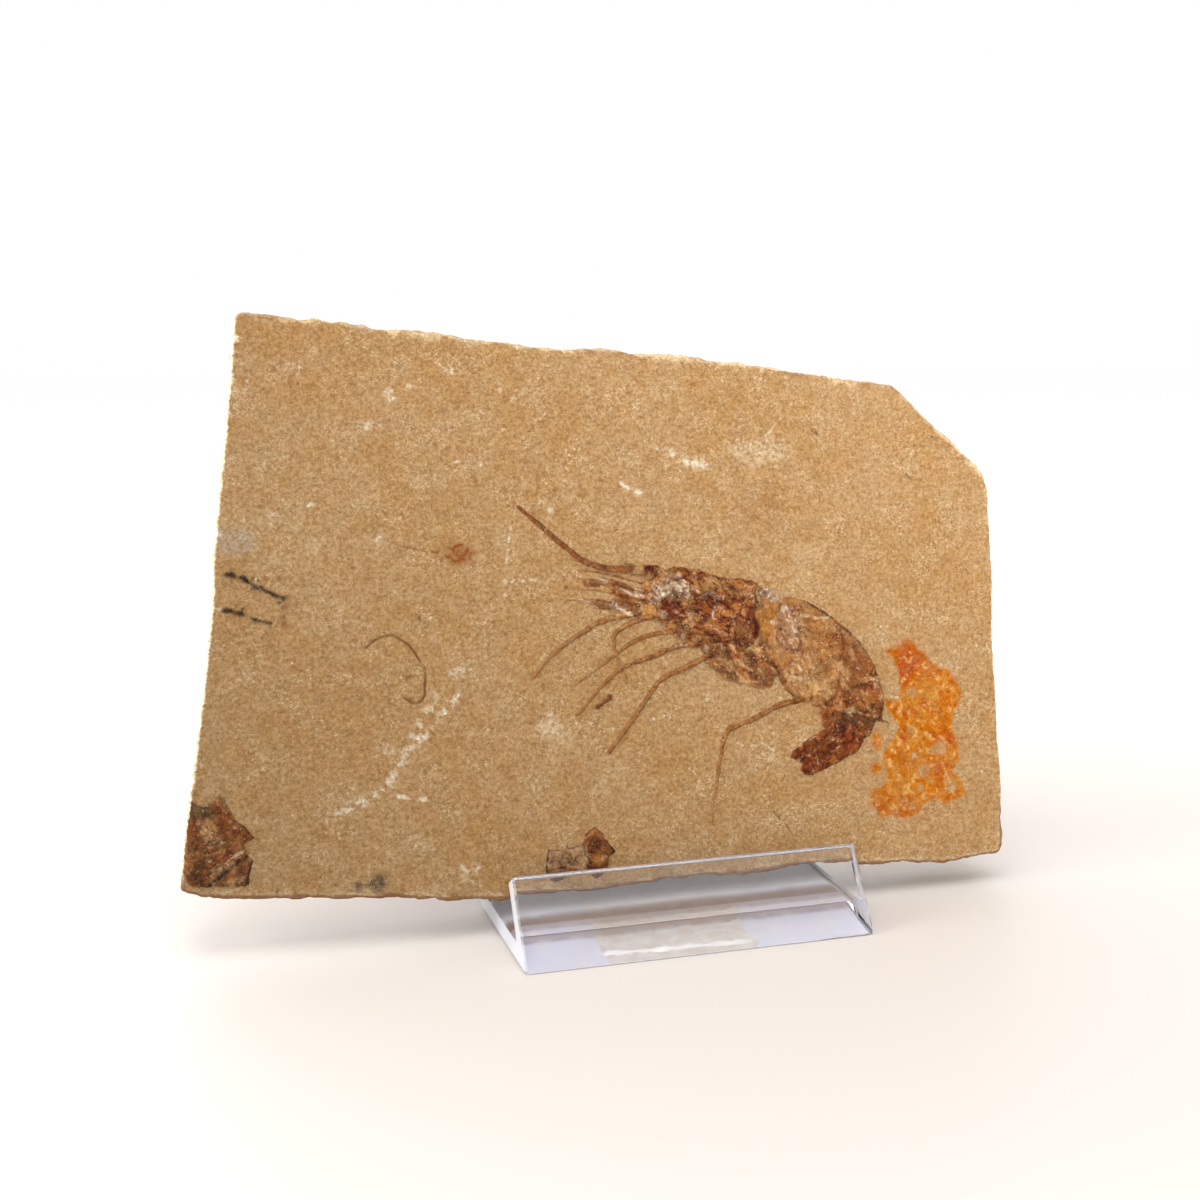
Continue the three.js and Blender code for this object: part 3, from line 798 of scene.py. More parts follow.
def paint_stain(coat, grain, blotch, crumbs):
    """An orange wash, redder in its cores, with bare holes and crumbs."""
    places, flat = coat.places, coat.flat
    depth = np.maximum(depth_inside(flat, STAIN), depth_inside(flat, STAIN_ISLAND))
    depth = np.maximum(depth, 0.9 - distance_to(flat, STAIN_DROP))
    wash = step(-0.35, 0.35, depth + 0.45 * grain)
    for radius, *middles in STAIN_HOLES:
        for middle in middles:
            away = distance_to(flat, middle) + 0.5 * radius * grain
            wash *= 1 - 0.85 * step(radius * 1.2, radius * 0.5, away)
    thin = step(-0.3, 0.7, blotch + 0.9 * grain)
    redder = np.exp(-((distance_to(flat, STAIN_CORE) / 3.2) ** 2))
    for middle in STAIN_RED_SPOTS:
        redder += 0.6 * np.exp(-((distance_to(flat, middle) / 1.5) ** 2))
    coat.lay(wash * (1.0 - 0.12 * thin), ORANGE)
    coat.tint(wash * thin * 0.6, ORANGE_PALE)
    coat.tint(wash * step(-0.2, -0.8, fractal(places, 1.6, 34) + 0.5 * grain) * 0.7, ORANGE_RED)
    coat.tint(np.clip(redder + 0.35 * grain * redder, 0, 1) * 0.95, ORANGE_RED)
    coat.tint(wash * step(0.1, -0.6, crumbs) * 0.5, ORANGE_DARK)
    coat.tint(wash * step(0.35, 0.8, crumbs) * 0.7, ORANGE_CREAM)
    coat.lines([(ORANGE_PALE, 0.6, 0.35, 0.0, *STAIN_STREAKS)], 33)


def paint_dust(coat, grain, blotch, crumbs):
    """Scuffs that left pale stone dust."""
    for line, width in ((SCRATCH, 1.3), (SCRATCH_BRANCH, 0.9)):
        away, _ = line_distance(coat.flat, smooth_line(line, 0.6))
        body = step(width, 0.1, away + 0.4 * blotch)
        coat.lay(body * step(0.0, 0.6, crumbs + 0.4 * grain + 0.2) * 0.72, DUST)
    coat.lines([(DUST, 0.85, 0.6, 0.15, *SCUFF_LINES), (DUST, 0.42, 0.4, 0.15, *FAINT_LINES)], 50)
    for middle in CREAM_SPOTS:
        away = np.linalg.norm((coat.flat - np.array(middle)) * (0.7, 1.2), axis=1)
        coat.lay(step(1.5, 0.3, away + 0.7 * blotch) * step(0.1, 0.6, crumbs + 0.3 * grain) * 0.8, DUST)
    coat.patches([(DUST, 0.24, 0.9, 1.6, *CHALKY_PATCHES), (DUST_GREY, 0.5, 0.5, 0.4, GREY_PATCH)], 60)


def paint_minerals(coat):
    """Rust, ink and other dark marks."""
    coat.patches([(RED_BROWN, 0.35, 0.8, 0.9, RUST)], 70)
    coat.lines([
        (NEAR_BLACK, 0.95, 0.62, 0.0, *INK_LINES),
        (NEAR_BLACK, 0.7, 1.1, 0.45, *INK_LINES),
        (RED_BROWN, 0.6, 0.3, 0.1, RUST_LINE),
        (RUST_BROWN, 0.95, 0.36, -0.1, *RUST_CURLS),
        (UMBER, 0.85, 0.32, -0.5, LOOP_LINE),
        (UMBER, 0.6, 0.3, 0.0, *HAIR_LINES),
    ], 80)
    coat.patches([(NEAR_BLACK, 0.75, 0.25, 0.8, DENDRITE)], 90)
    coat.spots([
        (NEAR_BLACK, 0.85, 0.4, *DARK_SPOTS),
        (RED_BROWN, 0.6, 0.45, *RED_SPOTS),
        (UMBER, 0.55, 0.55, *BROWN_SPOTS),
        (NEAR_BLACK, 0.8, 0.3, *INK_DOTS),
    ])


def paint_rim(coat, grain, blotch):
    """The rim is cream where it has chipped, nearly white at the left with a painted highlight brighter
    than white, and brown along the foot.
    """
    places, flat = coat.places, coat.flat
    foot = step(8, 5, flat[:, 1])
    rim = depth_inside(flat, SLAB_OUTLINE)
    chipped, _ = line_distance(flat, UPPER_RIM)
    left, _ = line_distance(flat, LEFT_RIM)
    near_face = step(-2.6, -1.2, places[:, 2])
    coat.lay(step(0.9, 0.3, chipped + 0.7 * blotch + 0.5 * grain) * 0.85, RIM_CREAM)
    coat.lay(step(0.6, 0.2, chipped + 0.7 * fractal(places, 4, 36, 2)) * 0.5, RIM_BROWN)
    coat.lay(step(0.45, 0.1, rim + 0.25 * grain) * (1 - foot) * 0.5, RIM_CREAM)
    # painted highlight along the left rim, brighter than white
    coat.lay(step(0.55, 0.2, left + 0.15 * grain) * (1 - foot) * near_face * 0.9, RIM_PAINTED_HIGHLIGHT)
    coat.lay(foot * step(1.0, 0.6, rim + 0.2 * grain) * step(-0.2, 0.3, blotch + 0.3) * 0.7, RIM_CREAM)
    coat.lay(foot * step(0.7, 0.5, rim + 0.15 * blotch) * 0.8, RIM_BROWN)


def paint_slab(places):
    coat = Coat(places)
    grain = fractal(places, 0.9, 31)
    blotch = fractal(places, 2.6, 32)
    crumbs = fractal(places, 0.7, 35, 2)
    paint_stain(coat, grain, blotch, crumbs)
    paint_dust(coat, grain, blotch, crumbs)
    paint_minerals(coat)
    coat.cover *= step(-1.2, -0.4, places[:, 2])
    paint_rim(coat, grain, blotch)
    return coat


# ---------------------------------------------------------------- the slab

FACE_SPACING = 0.62
BACK_SPACING = 1.0
ROW_SPACING = 0.866  # of rows of points, as a share of the spacing along them
POINT_SHAKE = 0.22
LINE_MARGIN = 0.6  # free of other points, on both sides of a finely meshed line
RIM_MARGIN = 0.4
# outlines on the face that are meshed finely for their marks, each after the spacing of its points
DETAIL_ZONES = [
    (0.27, [(57.5, 4.5), (76.5, 4.5), (78, 26), (71, 34), (62, 33)]),
    (0.32, [(1, 35.5), (-25, 16), (-25.5, 11.5), (-6, 13), (1, 30)]),
    (0.3, [(-36.5, 49.5), (-37.4, 39), (-26, 39.5), (-26.4, 49)]),
    (0.3, [(-13, 53), (-13, 50), (-6, 47), (1.5, 48), (0, 52.5)]),
    (0.36, [(40.5, 67), (40.5, 61), (52.5, 61), (53, 67.5)]),
    (0.36, [(29, 65.5), (29, 62.5), (38, 60.5), (38, 63)]),
    (0.36, [(6, 26), (6, 21.5), (13, 21.5), (13, 26)]),
    (0.3, [(-21, 5.5), (-21, 2.2), (-15, 2.2), (-15, 5.5)]),
]
FINE_LINES = [LOOP_LINE, *HAIR_LINES, *SCUFF_LINES, *FAINT_LINES]
FINE_OFFSETS = (-0.32, -0.12, 0.12, 0.32)
BACK_FLAKES = [
    [(55, 82), (48, 70), (51, 61), (63, 55), (70, 57), (92, 50), (92, 82)],
    [(-50, 26), (-31, 24), (-24, 17), (-26, 9), (-19, -3), (-50, -3)],
]
FLAKE_DEPTH = 0.68


def spread(outline, spacing, seed):
    """Slightly shaken points in a triangular pattern inside an outline."""
    outline = np.array(outline, float)
    low, high = outline.min(0), outline.max(0)
    rows = np.arange(low[1], high[1], spacing * ROW_SPACING)
    columns = np.arange(low[0], high[0], spacing)
    x, y = np.meshgrid(columns, rows)
    x[1::2] += spacing / 2
    flat = np.column_stack([x.ravel(), y.ravel()])
    flat += np.random.default_rng(seed).uniform(-POINT_SHAKE, POINT_SHAKE, flat.shape) * spacing
    return flat[depth_inside(flat, outline, 200) > 0]


def face_points(rim):
    """Points for the face: finer where there are marks."""
    base = spread(SLAB_OUTLINE, FACE_SPACING, 1)
    zones = [spread(outline, spacing, 2) for spacing, outline in DETAIL_ZONES]
    for _, outline in DETAIL_ZONES:
        base = base[depth_inside(base, outline, 1.0) < -0.25]
    lines = []
    for line in FINE_LINES:
        middle = smooth_line(line, 0.3)
        along = np.gradient(middle, axis=0)
        side = np.column_stack([-along[:, 1], along[:, 0]]) / np.linalg.norm(along, axis=1)[:, None]
        lines += [middle + side * offset for offset in FINE_OFFSETS]
        away, _ = line_distance(base, middle)
        base = base[away > LINE_MARGIN]
    flat = np.vstack([base, *zones, *lines])
    return flat[depth_inside(flat, rim, 200) > RIM_MARGIN]


def filled(rim, flat):
    """Triangles that fill a rim and use the points inside it. The rim's points come first."""
    everything = [Vector(p) for p in np.vstack([rim, flat])]
    count = len(rim)
    made = delaunay_2d_cdt(everything, [], [list(range(count))], 1, 1e-5)
    points, _, faces = made[:3]
    assert len(points) == len(everything), "the triangulation merged or added points"
    order = np.array([first[0] for first in made[3]])
    return [tuple(int(order[i]) for i in face) for face in faces]


def face_relief(places):
    """How far the face stands out: it is flat, with faint waves, grain and shallow scars."""
    relief = 0.09 * fractal(places, 24, 21, 2) + 0.05 * fractal(places, 5, 22, 3)
    relief += 0.045 * fractal(places, 1.5, 23, 3)
    away, _ = line_distance(places[:, :2], smooth_line(SCRATCH, 0.6))
    relief -= 0.12 * step(1.4, 0.2, away) * step(-0.2, 0.6, fractal(places, 0.9, 24))
    away, _ = line_distance(places[:, :2], smooth_line(LOOP_LINE, 0.4))
    relief -= 0.07 * step(0.3, 0.05, away)
    for outline in CHALKY_PATCHES:
        depth = depth_inside(places[:, :2], outline) + 0.4 * fractal(places, 1.3, 25)
        relief -= 0.08 * step(-0.6, 0.3, depth)
    return relief


def back_relief(places):
    """How deep the back lies: split in thin uneven flakes."""
    flat = places[:, :2]
    depth = 0.25 * fractal(places, 16, 26, 4) + 0.1 * fractal(places, 2.2, 27, 3)
    for seed, outline in enumerate(BACK_FLAKES):
        edge = depth_inside(flat, outline, 4) + 0.9 * fractal(places, 5, 28 + seed)
        depth += FLAKE_DEPTH * step(-0.2, 0.25, edge)
    return np.clip(depth + 0.25, 0.02, 1.4)


def slab_mesh():
    """The stone with a flat face and a flat back: its places, its faces and the rim of the back."""
    rings = edge_rings()
    count = len(rings[0])
    front = face_points(rings[0][:, :2])
    back = spread(SLAB_OUTLINE, BACK_SPACING, 3)
    back = back[depth_inside(back, rings[-1][:, :2], 200) > RIM_MARGIN * 2]
    around = np.vstack(rings)
    front = np.column_stack([front, np.zeros(len(front))])
    back = np.column_stack([back, np.full(len(back), -float(SLAB_THICKNESS))])
    faces = []
    for level in range(len(rings) - 1):
        upper, lower = level * count, (level + 1) * count
        for i in range(count):
            j = (i + 1) % count
            faces.append((upper + i, lower + i, lower + j, upper + j))
    first_front = len(around)
    first_back = first_front + len(front)
    last = (len(rings) - 1) * count
    for a, b, c in filled(rings[0][:, :2], front[:, :2]):
        faces.append(tuple(i if i < count else first_front + i - count for i in (a, b, c)))
    for a, b, c in filled(rings[-1][:, :2], back[:, :2]):
        faces.append(tuple(last + i if i < count else first_back + i - count for i in (c, b, a)))
    return np.vstack([around, front, back]), faces, rings[-1][:, :2]


def slab():
    places, faces, back_rim = slab_mesh()
    facing = step(-0.5, 0.0, places[:, 2])
    places[:, 2] += facing * face_relief(places)
    behind = step(-SLAB_THICKNESS + 0.6, -SLAB_THICKNESS, places[:, 2])
    rim_share = step(-0.2, 2.0, depth_inside(places[:, :2], back_rim, 4))
    places[:, 2] += behind * rim_share * back_relief(places)

    coat = paint_slab(places)
    broken = step(-0.03, -0.25, places[:, 2])
    broken *= 1 - 0.55 * step(-SLAB_THICKNESS + 1.8, -SLAB_THICKNESS + 0.9, places[:, 2]) * rim_share
    coat.shares["broken"] = broken

    points = on_slab(places)
    right = STAND_LEFT + STAND_WIDTH
    over_stand = (points[:, 0] > STAND_LEFT - STAND_MARGIN) & (points[:, 0] < right + STAND_MARGIN)
    points[:, 2] = np.where(over_stand, np.maximum(points[:, 2], PLATE_TOP), points[:, 2])
    finish = stone_finish("limestone", 0.85)
    new_piece("stone_slab", points, faces, "slab", finish, 60, coat)


# ---------------------------------------------------------------- the fossils' films

FILM_SPACING = 0.15
FILM_ROOT = 0.3  # how deep a film is rooted in the stone
FILM_EDGE = 0.03  # how proud its rim is
FILM_MARGIN = 0.22  # over which it rises from there

# outlines of the shrimp's parts, from its carapace to its tail and then its head
CARAPACE = [
    (25.2, 40.2), (25.4, 43.6), (25.9, 46.8), (28.1, 46.8), (28.9, 45.9), (31.2, 46.2), (34.8, 45.7),
    (38, 44.3), (41.5, 44.2), (44.2, 43.1), (43.7, 39.5), (43, 35.5), (42, 34), (39.5, 33.8), (36, 34),
    (33, 33.8), (30.4, 35.2), (28.6, 37.0), (26.2, 38.4),
]
SEGMENTS = [
    [(43.3, 42.8), (45.8, 42.4), (47.6, 41), (47.4, 36.5), (46.6, 33.5), (45.4, 31.5), (43.2, 32.4),
     (42.5, 34.5), (43.1, 38)],
    [(46.8, 40.9), (49.4, 40.7), (51.4, 40.1), (51.4, 36), (51, 31), (51.8, 26.5), (50.4, 24.3),
     (48.4, 24.6), (46.4, 27.2), (44.3, 31.2), (46, 34), (46.9, 37)],
    [(50.4, 40.2), (52.3, 39.7), (55.7, 37.5), (57.2, 35.8), (57.2, 33), (57, 29.5), (55.4, 25.4),
     (52.6, 23.4), (50.6, 23.9), (50.8, 27), (50.2, 31), (50.4, 35)],
    [(55.8, 37.4), (58.7, 34.8), (60.9, 31.7), (62.3, 29), (60.9, 26.8), (57.5, 24.6), (53.8, 23.6),
     (54.4, 26), (55.6, 29.5), (55.6, 33)],
    [(61.6, 30.4), (62.7, 27.2), (63.1, 24.6), (62.7, 22.4), (60.6, 21.2), (57.2, 21.6), (54, 21.8),
     (52.1, 22.4), (52.5, 24.4), (57.2, 25.6), (60, 27.6)],
    [(62.6, 23.2), (62.3, 21.6), (61.0, 20.6), (60.4, 19.2), (58.9, 18.2), (55.8, 18.8), (52.4, 20.4),
     (51.9, 22), (54, 22.8), (58, 23)],
]
TAIL_LOBES = [
    [(59.6, 19.8), (58.6, 17.7), (57.4, 16.3), (55.5, 15.5), (52.7, 14.4), (49.9, 13.3), (48.3, 13.6),
     (47.6, 14.9), (48, 16), (49.6, 17.3), (52.8, 19.6), (56, 20.8)],
    [(54.2, 21.1), (49.5, 18.9), (46.7, 17.2), (46.4, 16.4), (47.2, 15.9), (48.6, 16.2), (52, 17.8),
     (55, 19.8)],
]
LOWER_RAMUS = [(52.0, 24.8), (52.9, 24.6), (53.2, 22.6), (53.4, 20.8), (52.2, 20.9), (51.9, 22.7)]
TAIL_SPIKE = [(60.8, 22.2), (62.2, 21.4), (63.9, 20.1), (62.2, 20.4), (60.8, 21)]
GILL_FRINGE = [
    (33.6, 34.4), (34.2, 31.6), (36.6, 29), (39.6, 27.8), (42.8, 26.8), (44.6, 27), (45.6, 29),
    (45.4, 31.6), (43, 34.6), (38, 34.8),
]
HEAD_PLATES = [
    [(16, 45), (18.9, 45.2), (22, 44.6), (24.6, 43.5), (26.2, 42.4), (26, 41), (23.6, 41.5), (21.3, 42.4),
     (19.1, 43.8), (16.7, 43.7)],
    [(15.7, 41.7), (17, 42.2), (19.5, 41.9), (21.6, 42.2), (23.6, 41.6), (24.6, 40.9), (24.2, 39.8),
     (22, 39.6), (19.6, 40.4), (17, 40.8)],
    [(21.2, 46.6), (22.1, 47.3), (24.2, 47.2), (26.2, 46.9), (26.6, 44.6), (24, 45), (22, 45.6)],
]
HEAD_LEAN = math.radians(-20)
GILL_LEAN = math.radians(-50)
SHELL_LEAN = math.radians(-62)

FEELER = [
    (23.9, 46.2), (21.4, 46.3), (19.4, 46.7), (17.7, 47.3), (16.2, 48.1), (14.8, 49.4), (13.2, 50.8),
    (11.4, 52.6), (9.5, 54.3), (7.5, 56.3),
]
FEELER_SHADOW = (0.3, 0.3)  # from the feeler's middle to its dark upper side
# each limb: its width at the start and at the end, its height, how far it fades, and its middle line
LIMBS = [
    (1.15, 0.8, 0.36, 0.0, FEELER),
    (0.4, 0.25, 0.2, 0.3, [(9.6, 54.2), (9.3, 55.4), (9.2, 56.2)]),
    # walking legs, front to back
    (1.08, 0.65, 0.34, 0.4,
     [(24.6, 39.6), (20.4, 39), (17.6, 38.1), (15, 36.7), (12, 35), (9.8, 33.2), (7.7, 31)]),
    (0.92, 0.55, 0.32, 0.45,
     [(26.4, 38.9), (24.4, 38.5), (21.8, 37.4), (20.4, 36.3), (20.3, 34.6), (20.8, 32.4), (21.3, 31),
      (21.6, 29.2)]),
    (0.82, 0.45, 0.28, 0.55,
     [(29.6, 36.5), (26.4, 36.2), (23.6, 35.4), (21, 33.9), (18.6, 32.4), (16.2, 31), (13.8, 29.4)]),
    (0.95, 0.55, 0.3, 0.25,
     [(32.4, 34.4), (29.6, 34.1), (26.4, 33), (23.6, 32.2), (21.1, 31.4), (18.6, 29.6), (16.6, 27.8),
      (15, 26.2), (13.7, 25.1)]),
    (1.0, 0.68, 0.36, 0.1,
     [(35, 32.5), (32.4, 31.5), (29.9, 30.5), (27.4, 29.5), (25.6, 27.9), (24, 26), (22.4, 24.1),
      (20.4, 21.8), (18.1, 19.3)]),
    # the long limb that trails from the abdomen, thick as far as its knee
    (1.0, 0.85, 0.36, 0.05, [(49, 25), (46.6, 24.6), (44, 23.8), (41.5, 22.7), (39, 21.9), (36.9, 21.2)]),
    (0.85, 0.35, 0.28, 0.7,
     [(37.2, 21.6), (36.2, 20.2), (35.6, 18.4), (34.8, 15.6), (34.1, 12.8), (33.3, 10.2), (32.9, 7.6)]),
    # bristles before the head
    (0.55, 0.25, 0.24, 0.2, [(25.6, 44.0), (22.5, 45.0), (19.5, 45.8), (16.2, 46.5)]),
    (0.6, 0.25, 0.24, 0.2, [(25.8, 42.8), (22, 43.9), (18.5, 44.8), (15.6, 45.2)]),
    (0.5, 0.2, 0.24, 0.2, [(25, 41.7), (21.4, 42.6), (18, 43.3), (15.6, 43.5)]),
    (0.65, 0.25, 0.24, 0.2, [(24.6, 40.7), (21, 41.3), (17, 41.9), (13.7, 42.0)]),
    (0.45, 0.2, 0.22, 0.3, [(24, 39.9), (21, 40.2), (18, 40.6), (15.8, 40.9)]),
]
LIMB_LUMPS = 0.4
PINCER_FINGER = [
    (15.9, 25.9), (17.0, 26.5), (18.2, 27.4), (19.3, 27.9), (19.4, 27.0), (18.2, 26.4), (16.8, 25.6),
]

# as Coat.patches takes them, and so are the scraps' and the film's under the stand
FILM_COLOURS = [
    # head
    (TAN_FILM, 0.9, 0.25, 0.25, HEAD_PLATES[0]),
    (LEG_BROWN, 0.8, 0.25, 0.25, HEAD_PLATES[1]),
    (TAN_PALE, 0.35, 0.3, 0.3, HEAD_PLATES[2]),
    # carapace
    (TAN_FILM, 0.9, 0.2, 0.2, CARAPACE),
    (BROWN, 0.85, 0.25, 0.25,
     [(38.2, 44.2), (41, 44.3), (43.6, 43.5), (44.5, 42.4), (44, 41.1), (41.9, 41.3), (40.1, 42.4),
      (38.3, 42.9)],
     [(35.9, 44.8), (37.9, 44.8), (39.9, 44.3), (39.6, 43.6), (37.2, 44)]),
    (BROWN, 0.95, 0.2, 0.25,
     [(29.5, 45.9), (31.2, 46.2), (33.7, 45.8), (35.4, 45.6), (35.3, 44.8), (34.6, 44), (34, 43.2),
      (32.7, 43.4), (32, 44.1), (31.4, 45), (30.5, 45.5)]),
    (CHALK_GREY, 0.95, 0.35, 0.4,
     [(29.4, 44.5), (30.4, 45.1), (31.4, 44.7), (32.2, 43.6), (33.1, 42.9), (32.7, 41.5), (31.3, 41),
      (29.4, 41.7), (28.1, 41.8), (27.3, 40.9), (26.6, 41.2), (27, 43), (28.2, 43.6)]),
    (TAN_PALE, 0.75, 0.25, 0.25,
     [(35.2, 43.9), (37.9, 44.1), (39.6, 43.7), (39.5, 42.8), (38.1, 43), (35.1, 42.8)]),
    (PLATE, 0.97, 0.2, 0.2,
     [(36.6, 41.6), (38.8, 42.4), (40.6, 41.6), (43.4, 40.6), (43.1, 37.5), (42.6, 34.4), (40, 34.2),
      (37.4, 34.2), (35.6, 35.4), (35.6, 38)]),
    (RED_BROWN, 0.95, 0.25, 0.3,
     [(33.2, 42.1), (34.1, 41.5), (35.5, 41.6), (36.6, 41), (36.3, 40.1), (35.8, 38.4), (34.7, 37.5),
      (33.6, 38.1), (32.8, 39.4), (33.2, 40.3)]),
    (DARK_RED, 0.95, 0.25, 0.4,
     [(27.6, 41.5), (28.8, 41.6), (29.4, 41.1), (31, 40.8), (31.2, 39.6), (32.1, 38.8), (29.7, 38.3),
      (28.1, 38.5), (27.6, 39.9), (28.3, 40.5)]),
    (OLIVE, 0.75, 0.3, 0.4, [(29.4, 37.2), (31, 37.6), (32.4, 36.8), (32, 35.4), (30.4, 35.4)]),
    (BROWN, 0.8, 0.3, 0.5,
     [(32.2, 37.6), (34, 37.4), (36, 36), (35.6, 34.2), (33.4, 34), (31.8, 35.4)]),
    # the eye
    (EYE_RED, 1.0, 0.15, 0.1,
     [(25.8, 46.8), (26.7, 46.9), (27.6, 46.7), (27.8, 46), (27.2, 44.8), (26.3, 45.6)]),
    (BROWN, 1.0, 0.15, 0.1, [(27.5, 46.7), (28.2, 46.6), (28.6, 46), (27.7, 45.8)]),
    # gills and feathery limbs
    (LEG_BROWN, 0.7, 0.3, 0.5,
     [(32.4, 36.5), (35.1, 35.4), (37.4, 34.2), (40.2, 33.8), (42.2, 33.3), (43.8, 31.8), (42.5, 31),
      (40, 32.5), (37.4, 32.6), (34.4, 32.8), (32.2, 34.7)]),
    # abdomen
    (TAN_FILM, 0.9, 0.2, 0.15, SEGMENTS[0], SEGMENTS[1], SEGMENTS[2]),
    (CHALK_GREY, 0.75, 0.5, 0.7,
     [(44.2, 42.7), (46.4, 42.7), (48.2, 41.3), (47.6, 40.3), (45.7, 40.4), (44, 41.3)]),
    (OCHRE, 0.9, 0.25, 0.2,
     [(43.5, 39.4), (46, 38.8), (46.5, 37.1), (46, 34.4), (43.3, 34.3), (43.2, 36.6)]),
    (CHALK_PINK, 0.5, 1.0, 1.2,
     [(47.2, 39.3), (49.2, 39), (50.1, 36.9), (50.2, 35.1), (49.6, 32.4), (47.2, 32.1), (45.9, 34),
      (46.7, 36.6)]),
    (TAN_FILM, 0.9, 0.25, 0.3,
     [(48.6, 40.4), (51.9, 39.8), (53.6, 38.4), (50.7, 37.8), (49, 37.4), (48.4, 39.1)]),
    (SHELL_TAN, 0.75, 0.6, 0.5,
     [(50.9, 37.3), (54.1, 37.2), (56.2, 36), (55.1, 33.4), (54.4, 31.2), (52.3, 30.2), (50.4, 31.5),
      (50.4, 35.1)]),
    (TAN_PALE, 0.7, 0.5, 0.5,
     [(47, 31.8), (50, 31), (53, 29.5), (55.4, 28.2), (55, 25.6), (51.6, 25), (48.4, 25.4), (46.6, 28)]),
    (SHELL_BROWN, 0.95, 0.5, 0.5, SEGMENTS[3]),
    (RED_BROWN, 0.55, 0.6, 0.5,
     [(58.6, 31.8), (60.3, 31), (61.5, 28.6), (59.4, 27.6), (58, 29)],
     [(55.4, 35.2), (57.2, 34.8), (56.8, 32.6), (55.3, 32.8)]),
    (TAN_PALE, 0.5, 0.5, 0.5, [(55.6, 29.2), (57.4, 29.4), (57.8, 27), (55.4, 25.8)]),
    (BROWN, 0.95, 0.25, 0.25, SEGMENTS[4]),
    (RED_BROWN, 0.75, 0.5, 0.4,
     [(60.2, 26.9), (62.2, 26.0), (62.4, 23.2), (60.6, 23.6)],
     [(57, 25.4), (58.4, 25), (57.6, 23.2), (55.6, 23.4)]),
    (UMBER, 0.95, 0.25, 0.3, SEGMENTS[5]),
    (RED_BROWN, 1.0, 0.15, 0.15, *TAIL_LOBES),
    (DARK_RED, 0.7, 0.6, 0.7,
     [(55.4, 20.4), (57.8, 19.2), (58.4, 17.6), (56, 17.2), (53.4, 18)],
     [(48.4, 15.6), (50.6, 15.8), (50.8, 14.6), (49, 14)]),
    (RED_BROWN, 0.9, 0.25, 0.3, LOWER_RAMUS),
    (UMBER, 0.95, 0.1, 0.1, TAIL_SPIKE),
    (LEG_EDGE, 0.85, 0.2, 0.2, PINCER_FINGER),
    (OCHRE, 0.9, 0.2, 0.2,
     [(24.1, 41), (25.2, 41.1), (26.2, 40.3), (26.3, 39.4), (25, 39.1), (24.1, 39.5)]),
]
